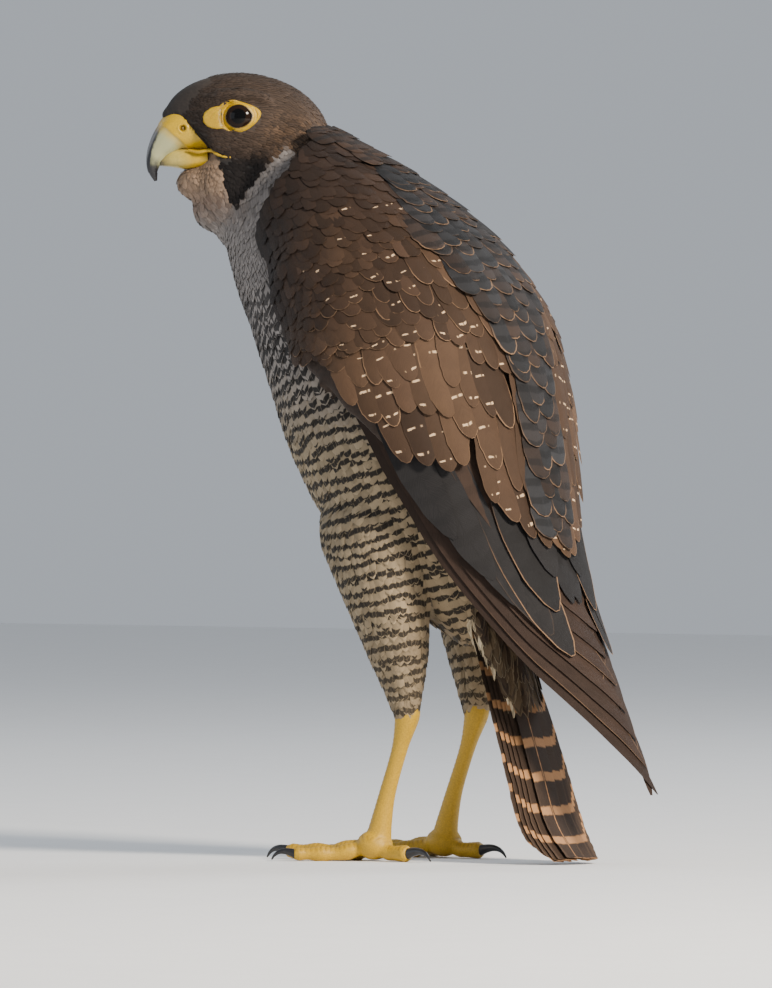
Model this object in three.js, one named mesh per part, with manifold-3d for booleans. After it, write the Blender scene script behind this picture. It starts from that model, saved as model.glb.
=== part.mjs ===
// A peregrine falcon at life size, upright on a floor, its wings folded and its head turned to its left.
// Millimetres, +Z up. The body faces -Y, its left side is +X, and its feet and tail tip rest on z = 0.
import * as THREE from "three";
import { mergeVertices } from "three/addons/utils/BufferGeometryUtils.js";
import Module from "manifold-3d";

const wasm = await Module();
wasm.setup();

// Driving dimensions
const GAP = 0.32; // between neighbouring pieces
const FRAME_SHIFT = [0, 4.3, 0]; // puts the middle of the whole bird over the frame
const VANE_THICK = 0.62;
const LEFT = 1;
const RIGHT = -1;
const SIDES = [["left", LEFT], ["right", RIGHT]];

// The trunk: middle of each section, half width, half depth to the back and to the belly
const TRUNK = [
  { y: -104, z: 330, wide: 20, back: 37, belly: 18 },
  { y: -92, z: 303, wide: 28, back: 45, belly: 28 },
  { y: -73, z: 279, wide: 41, back: 50, belly: 37 },
  { y: -48, z: 255, wide: 54, back: 52, belly: 47 },
  { y: -26, z: 230, wide: 60, back: 52, belly: 56 },
  { y: -9, z: 201, wide: 60, back: 50, belly: 59 },
  { y: 5, z: 171, wide: 54, back: 43, belly: 55 },
  { y: 17, z: 143, wide: 42, back: 33, belly: 41 },
  { y: 28, z: 119, wide: 28, back: 21, belly: 27 },
  { y: 34, z: 103, wide: 15, back: 10, belly: 14 },
];
const TRUNK_SIDES = 24;
const TRUNK_STEPS = 13;
const NECK_CUT = { y: -74, z: 281, lean: 47 }; // plane between neck and torso, degrees from the horizontal

// The folded wings lie on one roof-like shell: its ridge, half width and height of the roof
const SHELL = [
  { y: -46, z: 330, wide: 42, high: 38 },
  { y: -17, z: 315, wide: 56, high: 48 },
  { y: 20, z: 289, wide: 67, high: 57 },
  { y: 47, z: 257, wide: 72, high: 61 },
  { y: 60, z: 222, wide: 72, high: 62 },
  { y: 67, z: 188, wide: 66, high: 57 },
  { y: 74, z: 153, wide: 54, high: 46 },
  { y: 86, z: 119.5, wide: 41, high: 34 },
  { y: 102, z: 89, wide: 30, high: 25 },
  { y: 118, z: 59, wide: 19, high: 16 },
  { y: 134, z: 30, wide: 11, high: 9 },
];
// Angle round the shell, in degrees from the ridge, of each wing's lower edge at the same stations
const WING_LOW = [106, 116, 112, 100, 88, 80, 76, 73, 72, 72, 72];
const WING_TOP = 14; // of the wing's upper edge
const CORE_START = -7;
const CORE_END = 205; // how far along the shell the solid arm reaches
const CORE_THICK = 17;
const CORE_TOP = 8; // degrees by which the arm's front end stays below the wing's upper edge
const CORE_DROP = 4.1; // how much deeper the arm's hind end lies than its front
// The back between the wings, part of the torso
const MANTLE = { from: -4, to: 190, turn: 13, lift: -1.3, deep: 32, taper: 0.9, steps: 9 };

// Head, in its own frame: +X to the bill, +Y to its left, +Z up
const HEAD_AT = [4, -102, 340];
const HEAD_TURN = 48; // degrees to the bird's left
const HEAD_STEPS = 10;
const HEAD_SIDES = 16;
const HEAD = [
  { x: -37, top: -2, low: -15, wide: 7 },
  { x: -33, top: 6, low: -20, wide: 14 },
  { x: -24, top: 15, low: -24, wide: 20.5 },
  { x: -12, top: 21, low: -26, wide: 23.5 },
  { x: 2, top: 24, low: -26, wide: 24 },
  { x: 14, top: 23.6, low: -25, wide: 22 },
  { x: 25, top: 21, low: -23.5, wide: 16.8 },
  { x: 33, top: 17, low: -21, wide: 12 },
  { x: 39, top: 11.5, low: -17, wide: 9 },
  { x: 42, top: 5, low: -12, wide: 6.5 },
];
const EYE = { x: 7.4, y: 15.8, z: 2.4, radius: 8.5 };
const EYE_OUT = { ahead: 0.34, up: 0.05 }; // where an eye looks, for one unit to the side
const EYE_RIM = { ring: 6.7, bead: 1.25, seat: 6.4, facets: [5, 14] };
const THROAT = [
  { x: 4, z: -13.5, radius: 19 },
  { x: 6.5, z: -21.2, radius: 21.5 },
  { x: 7, z: -30, radius: 23 },
  { x: 1.5, z: -40, radius: 22.5 },
  { x: -3, z: -51, radius: 21 },
  { x: -7, z: -64, radius: 15 },
];
const THROAT_SIDES = 14;
const CHIN = { x: 21.5, z: -27.8, long: 12.4, wide: 11.5, tall: 7.4 }; // swelling under the lower bill
const BROW = [[25, 12, 10.5], [18, 17.4, 12.6], [9, 20.4, 13.4], [0, 21.8, 12.2], [-6, 22, 9.8]];
const BROW_RADII = [1, 2.1, 2.4, 2, 1];
const GAPE = { from: 13, to: 29, z: -14.6, radius: 0.8, out: 1.02 };
const BILL_SIDES = 12;
const BILL = [
  { x: 20, z: -2, tall: 10.5, wide: 13, pitch: -8 },
  { x: 30, z: -2.6, tall: 10, wide: 10.6, pitch: -11 },
  { x: 36.5, z: -4.2, tall: 8.7, wide: 8.9, pitch: -17 },
  { x: 40.9, z: -8.2, tall: 7.2, wide: 7.2, pitch: -24 },
  { x: 44, z: -12.6, tall: 5.1, wide: 5.3, pitch: -42 },
  { x: 45.8, z: -17.9, tall: 3.5, wide: 3.5, pitch: -68 },
  { x: 46.2, z: -22.8, tall: 2.1, wide: 2, pitch: -88 },
  { x: 45, z: -27, tall: 0.6, wide: 0.6, pitch: -104 },
];
const LOWER_BILL = [
  { x: 22, z: -16, tall: 5.2, wide: 9.4, pitch: -2 },
  { x: 31, z: -16.5, tall: 5, wide: 7.6, pitch: -2 },
  { x: 38, z: -16.6, tall: 3.9, wide: 5.6, pitch: -2 },
  { x: 43, z: -17.8, tall: 2.2, wide: 3.2, pitch: 4 },
];
// Slanted planes in the face: their normal's angle below level and a point on each
const FACE_EDGE = { x: 36.3, z: 3, slant: 43 }; // feathers end, cere begins
const CERE_EDGE = { x: 37.4, z: -6, slant: 50 }; // cere ends, bill begins
const NOSTRIL = { x: 33.8, z: -2.6, radius: 1.8, side: 9.6 };

// Legs, for the left side
const THIGH = [
  { x: 26, y: -4, z: 176, wide: 20, deep: 30 },
  { x: 33, y: -5, z: 152, wide: 23, deep: 32 },
  { x: 33, y: 0, z: 124, wide: 20, deep: 24.5 },
  { x: 30, y: 4, z: 98, wide: 14.5, deep: 18 },
  { x: 27, y: 6, z: 76, wide: 9.5, deep: 11 },
  { x: 26, y: 7, z: 63, wide: 6.4, deep: 7.2 },
];
const HEEL_Z = 69;
const SHANK = [
  { x: 26, y: 7, z: 74, wide: 4.8, deep: 5.6 },
  { x: 26, y: 7, z: 66, wide: 5.2, deep: 6 },
  { x: 25.6, y: 2.4, z: 52, wide: 3.6, deep: 4 },
  { x: 25.2, y: -5, z: 32, wide: 3.6, deep: 4.1 },
  { x: 25, y: -9, z: 18, wide: 4.8, deep: 5.2 },
  { x: 25, y: -11, z: 9, wide: 6, deep: 6.4 },
];
const ANKLE_Z = 19;
// Each toe: heading in degrees from straight ahead, outward positive, its length, thickness and claw
const TOES = [
  { name: "inner", turn: -20, long: 33, thick: 4.2, claw: 17, joints: 2 },
  { name: "middle", turn: 6, long: 47, thick: 4.2, claw: 15.5, joints: 3 },
  { name: "outer", turn: 38, long: 37, thick: 3.7, claw: 14, joints: 3 },
  { name: "hind", turn: 176, long: 21, thick: 4.3, claw: 18, joints: 1 },
];
const TOE_SIDES = 6;
// Rise of a toe's middle over its own thickness, and how soon it ends
const TOE_ARCH = { root: 3.6, tip: -0.45, reach: 2.2 };
const TOE_TAPER = [1.02, 0.82];
const TOE_PAD = 0.42;
const CLAW = { seat: 1.2, arc: 1.25, root: 0.62, tip: 0.35, crown: 1.8, point: 1.1 };
const FOOT = { x: 26, y: -12, z: 7.4, radius: 8.4 };

// Tail: its middle line from the rump to the floor, in the midline plane
const TAIL_LINE = [
  { y: 24, z: 142 },
  { y: 39, z: 110 },
  { y: 53, z: 76 },
  { y: 65, z: 42 },
  { y: 74, z: 17 },
  { y: 89, z: -2.8 },
];
const TAIL_PAIRS = 6;
const TAIL_LAYER = 0.95; // between one tail feather and the next
const TAIL_ROOT = { start: 6, end: 56, wide: 17, thick: 8, taper: 0.7, sides: 12, steps: 4 };
// Tail feathers: start along the line, then for each pair out its shortening, and its place at root and tip
const TAIL_VANE = {
  from: 24,
  shorten: 0.5,
  root: [2.4, 1.6],
  tip: [5.4, 2.4],
  middle: 3.4,
  half: 7.6,
  lift: [2, 2.6],
};
// Coverts under and over the tail's root: pairs, reach, lift at root and tip, spread and way of the layers
const UNDER_TAIL = { pairs: 2, reach: 104, lift: [-5.6, -7.6], spread: 15, layer: -TAIL_LAYER };
const OVER_TAIL = { pairs: 2, reach: 84, lift: [3.8, 5.6], spread: 13, layer: TAIL_LAYER };
const COVERT = { from: 20, half: 7, shorten: 16 };

// Numbers along a smooth curve through stations, extended straight past both ends
function through(knots, values) {
  const last = knots.length - 1;
  const slopes = values.map((value, i) => {
    const before = Math.max(i - 1, 0);
    const after = Math.min(i + 1, last);
    return (values[after] - values[before]) / (knots[after] - knots[before]);
  });
  return (t) => {
    if (t <= knots[0]) return values[0] + slopes[0] * (t - knots[0]);
    if (t >= knots[last]) return values[last] + slopes[last] * (t - knots[last]);
    let i = 0;
    while (t > knots[i + 1]) i++;
    const span = knots[i + 1] - knots[i];
    const s = (t - knots[i]) / span;
    const rise = s * s * (3 - 2 * s);
    const out = s * (1 - s) * (1 - s) * span * slopes[i];
    const into = s * s * (1 - s) * span * slopes[i + 1];
    return values[i] * (1 - rise) + values[i + 1] * rise + out - into;
  };
}

const mix = (a, b, s) => a + (b - a) * s;
const ease = (s) => s * s * (3 - 2 * s);
const radians = THREE.MathUtils.degToRad;
const point = (x, y, z) => new THREE.Vector3(x, y, z);
const steps = (count) => Array.from({ length: count + 1 }, (_, i) => i / count);

// Knots at the distances between stations in the midline plane
function lengthKnots(stations) {
  const knots = [0];
  for (let i = 1; i < stations.length; i++) {
    const a = stations[i - 1];
    const b = stations[i];
    knots.push(knots[i - 1] + Math.hypot(b.y - a.y, b.z - a.z));
  }
  return knots;
}

// One function for each number that the stations state
function stationCurves(stations, knots, names) {
  return Object.fromEntries(names.map((name) => [name, through(knots, stations.map((s) => s[name]))]));
}

// A solid from a geometry whose shared corners are merged
function solidOf(geometry) {
  geometry.deleteAttribute("normal");
  geometry.deleteAttribute("uv");
  const merged = mergeVertices(geometry, 1e-5);
  const triVerts = new Uint32Array(merged.index.array);
  const vertProperties = merged.attributes.position.array;
  const made = new wasm.Manifold(new wasm.Mesh({ numProp: 3, vertProperties, triVerts }));
  if (made.volume() > 0) return made;
  const turned = triVerts.map((_, i) => triVerts[i - (i % 3) + 2 - (i % 3)]);
  return new wasm.Manifold(new wasm.Mesh({ numProp: 3, vertProperties, triVerts: turned }));
}

// A closed solid through rings of points, with a flat fan on the first and last ring
function throughRings(rings) {
  const count = rings[0].length;
  const middle = (ring) => ring.reduce((sum, p) => sum.add(p), point(0, 0, 0)).divideScalar(count);
  const corners = [...rings.flat(), middle(rings[0]), middle(rings.at(-1))];
  const faces = [];
  for (let i = 0; i + 1 < rings.length; i++)
    for (let j = 0; j < count; j++) {
      const a = i * count + j;
      const b = i * count + ((j + 1) % count);
      faces.push(a, b, b + count, a, b + count, a + count);
    }
  const first = corners.length - 2;
  const end = (rings.length - 1) * count;
  for (let j = 0; j < count; j++) {
    const next = (j + 1) % count;
    faces.push(first, next, j, first + 1, end + j, end + next);
  }
  const geometry = new THREE.BufferGeometry().setFromPoints(corners);
  geometry.setIndex(faces);
  return solidOf(geometry);
}

const join = (solids) => wasm.Manifold.union(solids);
const largest = (solid) => solid.decompose().sort((a, b) => b.volume() - a.volume())[0];

// Trunk and neck
const trunkKnots = lengthKnots(TRUNK);
const TRUNK_LONG = trunkKnots.at(-1);
const trunk = stationCurves(TRUNK, trunkKnots, ["y", "z", "wide", "back", "belly"]);

// A point of the trunk's surface, t along it from the neck and turn round it from the back, grown outward
function trunkPoint(t, turn, grow = 0) {
  const tangent = point(0, trunk.y(t + 1) - trunk.y(t - 1), trunk.z(t + 1) - trunk.z(t - 1)).normalize();
  const back = point(0, -tangent.z, tangent.y);
  const deep = (Math.cos(turn) > 0 ? trunk.back(t) : trunk.belly(t)) + grow;
  return point(0, trunk.y(t), trunk.z(t))
    .addScaledVector(back, deep * Math.cos(turn))
    .add(point((trunk.wide(t) + grow) * Math.sin(turn), 0, 0));
}

function trunkForm(grow = 0) {
  const rings = steps(TRUNK_STEPS).map((s) => {
    const t = s * TRUNK_LONG;
    return steps(TRUNK_SIDES - 1).map((_, j) => trunkPoint(t, (2 * Math.PI * j) / TRUNK_SIDES, grow));
  });
  return throughRings(rings);
}

// Shell that the folded wings lie on
const shellKnots = lengthKnots(SHELL);
const shell = stationCurves(SHELL, shellKnots, ["y", "z", "wide", "high"]);
const wingLow = through(shellKnots, WING_LOW);

function shellSpot(p, turn) {
  const tangent = point(0, shell.y(p + 1) - shell.y(p - 1), shell.z(p + 1) - shell.z(p - 1)).normalize();
  const back = point(0, -tangent.z, tangent.y);
  const angle = radians(turn);
  return point(0, shell.y(p), shell.z(p))
    .addScaledVector(back, shell.high(p) * (Math.cos(angle) - 1))
    .add(point(shell.wide(p) * Math.sin(angle), 0, 0));
}

// A point over the shell: p along it, turn in degrees from the ridge, lift outward
function shellPoint(p, turn, lift) {
  const along = shellSpot(p + 1, turn).sub(shellSpot(p - 1, turn));
  const round = shellSpot(p, turn + 1).sub(shellSpot(p, turn - 1));
  return shellSpot(p, turn).addScaledVector(round.cross(along).normalize(), lift);
}

// The solid arm of a wing, under its feathers
const coreLift = (p) => -0.4 - (CORE_DROP * p) / CORE_END;

function wingCore(side) {
  const across = steps(7);
  const rings = steps(9).map((s) => {
    const p = mix(CORE_START, CORE_END, s ** 1.3);
    const low = wingLow(Math.max(p, 0)) - 1;
    const front = Math.min(0.3 + (p - CORE_START) / 30, 1);
    const thick = CORE_THICK * front * Math.sqrt(Math.max(1 - s * s, 0.02));
    const top = mix(WING_TOP + CORE_TOP, WING_TOP, ease(Math.min(s * 3, 1)));
    const outer = across.map((q) => shellPoint(p, mix(top, low, q), coreLift(p)));
    const inner = across.map((q) => shellPoint(p, mix(low, top, q), coreLift(p) - thick));
    return [...outer, ...inner];
  });
  rings.forEach((ring) => ring.forEach((corner) => (corner.x *= side)));
  return throughRings(rings);
}

// The back between the wings
function mantle(grow = 0) {
  const across = steps(4).map((q) => mix(-1, 1, q));
  const rings = steps(MANTLE.steps).map((s) => {
    const p = mix(MANTLE.from - grow, MANTLE.to + grow, s);
    const spread = MANTLE.turn + (57.3 * grow) / shell.wide(p);
    const deep = MANTLE.deep * Math.sqrt(1 - MANTLE.taper * s * s) + 2 * grow;
    const top = MANTLE.lift + coreLift(p) * 0.5 + grow;
    const outer = across.map((q) => shellPoint(p, q * spread, top));
    const inner = across.map((q) => shellPoint(p, -q * spread * 1.5, top - deep));
    return [...outer, ...inner];
  });
  return throughRings(rings);
}

// A closed thin sheet between two grids of points, cut into triangles alike on both faces
function sheet(upper, lower) {
  const rows = upper.length;
  const columns = upper[0].length;
  const corners = [...upper.flat(), ...lower.flat()];
  const under = rows * columns;
  const faces = [];
  const quad = (a, b, c, d) => faces.push(a, b, c, a, c, d);
  for (let i = 0; i + 1 < rows; i++) {
    for (let j = 0; j + 1 < columns; j++) {
      const a = i * columns + j;
      const c = a + columns + 1;
      faces.push(a, a + columns, c, a, c, a + 1);
      faces.push(under + a, under + c, under + a + columns, under + a, under + a + 1, under + c);
    }
    for (const j of [0, columns - 1]) {
      const a = i * columns + j;
      if (j === 0) quad(a, under + a, under + a + columns, a + columns);
      else quad(a, a + columns, under + a + columns, under + a);
    }
  }
  for (let j = 0; j + 1 < columns; j++) {
    const last = (rows - 1) * columns + j;
    quad(j, j + 1, under + j + 1, under + j);
    quad(last, under + last, under + last + 1, last + 1);
  }
  const geometry = new THREE.BufferGeometry().setFromPoints(corners);
  geometry.setIndex(faces);
  return solidOf(geometry);
}

// Share of a vane's full half width at stations from its root to its tip
const BLUNT = [[0, 0.6], [0.5, 1], [0.88, 0.82], [1, 0.16]];
const POINTED = [[0, 0.6], [0.45, 1], [0.78, 0.82], [0.94, 0.46], [1, 0.12]];
const ROUNDED = [[0, 0.6], [0.5, 1], [0.86, 0.94], [0.96, 0.68], [1, 0.2]];
const COLUMNS = [-1, 0, 1];

// One vane. Its place gives a point for a share of its length, an offset across it and a lift.
function vane(outline, place) {
  const row = (share, reach, lift) => COLUMNS.map((c) => place(share, c * reach, lift));
  const grid = (lift) => outline.map(([share, reach]) => row(share, reach, lift));
  return sheet(grid(VANE_THICK / 2), grid(-VANE_THICK / 2));
}

// A vane over a wing's shell, from root to tip, each given as distance along and degrees round
function shellVane(side, { root, tip, half, height, outline, roll = 0, bend = 0 }) {
  return vane(outline, (share, c, lift) => {
    const p = mix(root[0], tip[0], share);
    const turn = mix(root[1], tip[1], share) - bend * share ** 6;
    const angle = radians(turn);
    const perDegree = radians(Math.hypot(shell.wide(p) * Math.cos(angle), shell.high(p) * Math.sin(angle)));
    const corner = shellPoint(p, turn + (c * half) / perDegree, height(p) + roll * c + lift);
    corner.x *= side;
    return corner;
  });
}

// The tiers of one wing. Each row runs from its first vane to its last one. A vane is rolled so that its
// lower edge lies over the next, and the rows rise toward their tips like shingles.
const RISE = 0.055;
const SECONDARIES = {
  count: 6,
  root: [[138, 82], [142, 20]],
  tip: [[214, 73], [254, 13]],
  half: [9.5, 10.5],
  roll: 0.95,
  crest: [234, -0.4],
};
const GREATER_COVERTS = {
  count: 6,
  root: [[104, 94], [116, 25]],
  tip: [[176, 86], [206, 20]],
  half: [9.5, 11],
  roll: 0.8,
  crest: [191, 0],
};
const MEDIAN_COVERTS = {
  count: 5,
  root: [[72, 100], [84, 28]],
  tip: [[132, 94], [156, 22]],
  half: [12, 12.5],
  roll: 0.8,
  crest: [144, 0.4],
};
const LESSER_COVERTS = {
  count: 5,
  root: [[38, 104], [46, 36]],
  tip: [[88, 105], [108, 30]],
  half: [12, 11],
  roll: 0.8,
  crest: [98, 0.8],
};
const ROWS = [SECONDARIES, GREATER_COVERTS, MEDIAN_COVERTS, LESSER_COVERTS];
const SCAPULARS = {
  count: 4,
  root: [[128, 17], [40, 20]],
  tip: [[222, 9], [96, 13]],
  half: 9,
  roll: 0.2,
  lift: [2.3, 3.4],
  rise: 0.088,
};
// Primaries: their tips bend in to the midline, where the two wings meet
const PRIMARIES = { count: 6, root: [[128, 82], [146, 62]], tip: [[357, 44], [268, 5]], half: [8.5, 11.5] };
const PRIMARY_BEND = [42, 26];
const PRIMARY_STACK = { crest: -2.5, rise: 0.07, knee: 250 };

const blend = (row, key, s) => row[key][0].map((value, k) => mix(value, row[key][1][k], s));

function rowVanes(side, row) {
  return steps(row.count - 1).map((s) => {
    const root = blend(row, "root", s);
    const tip = blend(row, "tip", s);
    const height = (p) => row.crest[1] + RISE * (p - row.crest[0]);
    return shellVane(side, { root, tip, half: mix(...row.half, s), roll: row.roll, height, outline: BLUNT });
  });
}

function primaryVanes(side) {
  const { crest, rise, knee } = PRIMARY_STACK;
  return steps(PRIMARIES.count - 1).map((s) => {
    const root = blend(PRIMARIES, "root", s);
    const tip = blend(PRIMARIES, "tip", s);
    const height = (p) => crest - rise * (tip[0] - Math.max(p, knee));
    const half = mix(...PRIMARIES.half, s);
    return shellVane(side, { root, tip, bend: mix(...PRIMARY_BEND, s), half, height, outline: POINTED });
  });
}

// The long shoulder feathers beside the ridge, the foremost on top
function scapularVanes(side) {
  return steps(SCAPULARS.count - 1).map((s) => {
    const root = blend(SCAPULARS, "root", s);
    const tip = blend(SCAPULARS, "tip", s);
    const height = (p) => mix(...SCAPULARS.lift, s) - SCAPULARS.rise * (tip[0] - p);
    const { half, roll } = SCAPULARS;
    return shellVane(side, { root, tip, half, roll, height, outline: BLUNT });
  });
}

function wing(side, away) {
  const coverts = ROWS.flatMap((row) => rowVanes(side, row));
  const vanes = [...coverts, ...primaryVanes(side), ...scapularVanes(side)];
  const whole = join([wingCore(side), ...vanes]).trimByPlane([side, 0, 0], GAP / 2);
  return largest(whole.subtract(away));
}

// Head
const headKnots = HEAD.map((s) => s.x);
const head = stationCurves(HEAD, headKnots, ["top", "low", "wide"]);
const SQUARE = 0.88; // under 1, sections are a little fuller than ellipses

function ovalRing(count, place) {
  return Array.from({ length: count }, (_, j) => {
    const angle = (2 * Math.PI * j) / count;
    const c = Math.cos(angle);
    const s = Math.sin(angle);
    return place(Math.sign(c) * Math.abs(c) ** SQUARE, Math.sign(s) * Math.abs(s) ** SQUARE);
  });
}

function headForm(grow = 0) {
  const from = headKnots[0];
  const to = headKnots.at(-1);
  const rings = steps(HEAD_STEPS).map((s) => {
    const x = mix(from, to, (1 - Math.cos(Math.PI * s)) / 2);
    const middle = (head.top(x) + head.low(x)) / 2;
    const tall = (head.top(x) - head.low(x)) / 2 + grow;
    const along = x + grow * (2 * s - 1);
    return ovalRing(HEAD_SIDES, (c, u) => point(along, (head.wide(x) + grow) * c, middle + tall * u));
  });
  return throughRings(rings);
}

// A tapering solid along stations in the head's middle plane
function billForm(stations, grow = 0) {
  const rings = stations.map((s) => {
    const pitch = radians(s.pitch);
    const up = point(-Math.sin(pitch), 0, Math.cos(pitch));
    const at = (c, u) => point(s.x, (s.wide + grow) * c, s.z).addScaledVector(up, (s.tall + grow) * u);
    return ovalRing(BILL_SIDES, at);
  });
  return throughRings(rings);
}

function ball(radius, at, wide = 14, tall = 9) {
  return solidOf(new THREE.SphereGeometry(radius, wide, tall).translate(...at));
}

// Rings square to a path, one radius for each of its points
function tube(path, radii, count = 8) {
  const rings = path.map((middle, i) => {
    const tangent = path[Math.min(i + 1, path.length - 1)].clone().sub(path[Math.max(i - 1, 0)]).normalize();
    const across = point(-tangent.y, tangent.x, 0).normalize();
    const up = tangent.clone().cross(across).normalize();
    return Array.from({ length: count }, (_, j) => {
      const angle = (2 * Math.PI * (j + 0.5)) / count;
      const out = across.clone().multiplyScalar(Math.cos(angle)).addScaledVector(up, Math.sin(angle));
      return middle.clone().addScaledVector(out, radii[i]);
    });
  });
  return throughRings(rings);
}

// The raised rim of bare skin and lids round an eye
function eyeRim(side) {
  const rim = new THREE.TorusGeometry(EYE_RIM.ring, EYE_RIM.bead, ...EYE_RIM.facets);
  const out = point(EYE_OUT.ahead, side, EYE_OUT.up).normalize();
  rim.applyQuaternion(new THREE.Quaternion().setFromUnitVectors(point(0, 0, 1), out));
  const seat = point(EYE.x, side * EYE.y, EYE.z).addScaledVector(out, EYE_RIM.seat);
  return solidOf(rim.translate(...seat.toArray()));
}

// Throat and upper neck, carried by the head
function throatForm(grow = 0) {
  const rings = THROAT.map((s, i) => {
    const z = s.z + (i ? -grow : grow);
    return ovalRing(THROAT_SIDES, (c, d) => point(s.x + (s.radius + grow) * c, (s.radius + grow) * d, z));
  });
  return throughRings(rings);
}

// The feathered chin
function chinForm(grow = 0) {
  const round = new THREE.SphereGeometry(1, 12, 8);
  round.scale(CHIN.long + grow, CHIN.wide + grow, CHIN.tall + grow);
  return solidOf(round.translate(CHIN.x, 0, CHIN.z));
}

const brow = (side) => tube(BROW.map(([x, y, z]) => point(x, side * y, z)), BROW_RADII, 6);

// The groove that carries the mouth line back from the bill
function gape(side) {
  const stations = steps(3).map((s) => mix(GAPE.from, GAPE.to, s));
  const path = stations.map((x) => {
    const middle = (head.top(x) + head.low(x)) / 2;
    const rise = (middle - GAPE.z) / ((head.top(x) - head.low(x)) / 2);
    return point(x, side * head.wide(x) * Math.sqrt(1 - rise * rise) * GAPE.out, GAPE.z);
  });
  return tube(path, stations.map(() => GAPE.radius), 6);
}

// The side of a slanted face plane that looks to the bill's tip, or the other side
function beyond(solid, edge, gap) {
  const slant = radians(edge.slant);
  const normal = [Math.cos(slant), 0, -Math.sin(slant)];
  return solid.trimByPlane(normal, normal[0] * edge.x + normal[2] * edge.z + gap);
}

function before(solid, edge, gap) {
  const slant = radians(edge.slant);
  const normal = [-Math.cos(slant), 0, Math.sin(slant)];
  return solid.trimByPlane(normal, normal[0] * edge.x + normal[2] * edge.z + gap);
}

function headParts() {
  const both = (make) => join(SIDES.map(([, side]) => make(side)));
  const face = before(headForm(), FACE_EDGE, GAP / 2);
  const form = join([face, throatForm(), chinForm(), both(eyeRim), both(brow)]);
  const sockets = both((side) => ball(EYE.radius + GAP, [EYE.x, side * EYE.y, EYE.z]));
  const upper = billForm(BILL);
  const lower = billForm(LOWER_BILL);
  const nostrils = both((side) => ball(NOSTRIL.radius, [NOSTRIL.x, side * NOSTRIL.side, NOSTRIL.z], 10, 6));
  const upperRoom = billForm(BILL, GAP);
  const away = [sockets, both(gape), beyond(upperRoom, FACE_EDGE, -GAP / 2), billForm(LOWER_BILL, GAP)];
  const cere = before(beyond(upper, FACE_EDGE, GAP / 2), CERE_EDGE, GAP / 2);
  return {
    head: largest(form.subtract(join(away))),
    cere: largest(cere.subtract(nostrils)),
    bill_upper: largest(beyond(upper, CERE_EDGE, GAP / 2)),
    bill_lower: largest(lower.subtract(upperRoom)),
    eyes: SIDES.map(([, side]) => ball(EYE.radius, [EYE.x, side * EYE.y, EYE.z])),
  };
}

// Round or oval sections along stations, level with the floor
function limb(stations, side, grow = 0, count = 14, cuts = 2) {
  const knots = stations.map((_, i) => i);
  const at = stationCurves(stations, knots, ["x", "y", "z", "wide", "deep"]);
  const rings = steps((stations.length - 1) * cuts).map((s) => {
    const t = s * (stations.length - 1);
    return Array.from({ length: count }, (_, j) => {
      const angle = (2 * Math.PI * j) / count;
      const x = side * (at.x(t) + (at.wide(t) + grow) * Math.cos(angle));
      return point(x, at.y(t) + (at.deep(t) + grow) * Math.sin(angle), at.z(t));
    });
  });
  return throughRings(rings);
}

// A toe that arches forward from the foot with a pad under each joint, and the claw beyond it
function toeAndClaw(toe, side) {
  const turn = radians(toe.turn);
  const ahead = point(side * Math.sin(turn), -Math.cos(turn), 0);
  const start = point(side * FOOT.x, FOOT.y, 0);
  const at = (distance, z) => start.clone().addScaledVector(ahead, distance).setZ(z);
  const stations = steps(toe.joints * 3);
  const arch = (s) => mix(TOE_ARCH.root, TOE_ARCH.tip, Math.min(s * TOE_ARCH.reach, 1));
  const path = stations.map((s) => at(s * toe.long, toe.thick + arch(s)));
  const pad = (s) => TOE_PAD * Math.cos(2 * Math.PI * toe.joints * s);
  const radii = stations.map((s) => toe.thick * mix(...TOE_TAPER, s) + pad(s));
  const base = toe.long + GAP;
  const clawPath = steps(4).map((s) => {
    const reach = base - CLAW.seat + toe.claw * 0.84 * Math.sin(s * CLAW.arc);
    const rise = CLAW.crown * Math.sin(Math.PI * s) - (toe.thick - CLAW.point) * s * s;
    return at(reach, toe.thick - 0.5 + rise);
  });
  const clawRadii = steps(4).map((s) => mix(toe.thick * CLAW.root, CLAW.tip, s ** 0.8));
  const forward = ahead.toArray();
  const origin = start.dot(ahead);
  return {
    toe: tube(path, radii, TOE_SIDES).trimByPlane(forward.map((n) => -n), -(origin + toe.long)),
    claw: tube(clawPath, clawRadii, TOE_SIDES).trimByPlane(forward, origin + base),
  };
}

function legParts(side, trunkGrown) {
  const thigh = limb(THIGH, side).subtract(trunkGrown);
  const shank = limb(SHANK, side, 0, 10);
  const digits = TOES.map((toe) => toeAndClaw(toe, side));
  const pad = ball(FOOT.radius, [side * FOOT.x, FOOT.y, FOOT.z], 12, 8);
  const onFloor = (solid) => largest(solid.trimByPlane([0, 0, 1], 0));
  const lowShank = shank.trimByPlane([0, 0, -1], -(ANKLE_Z - GAP));
  return {
    thigh: largest(thigh.trimByPlane([0, 0, 1], HEEL_Z)),
    shank: largest(shank.trimByPlane([0, 0, 1], ANKLE_Z).trimByPlane([0, 0, -1], -(HEEL_Z - GAP))),
    foot: onFloor(join([pad, lowShank, ...digits.map((d) => d.toe)])),
    claws: digits.map((d) => onFloor(d.claw)),
  };
}

// Tail: points over its middle line, s along it, x across, lift to the upper side
const tailKnots = lengthKnots(TAIL_LINE);
const TAIL_LONG = tailKnots.at(-1);
const tail = stationCurves(TAIL_LINE, tailKnots, ["y", "z"]);

function tailPoint(s, x, lift) {
  const tangent = point(0, tail.y(s + 1) - tail.y(s - 1), tail.z(s + 1) - tail.z(s - 1)).normalize();
  const up = point(0, -tangent.z, tangent.y);
  return point(x, tail.y(s), tail.z(s)).addScaledVector(up, lift);
}

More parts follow.
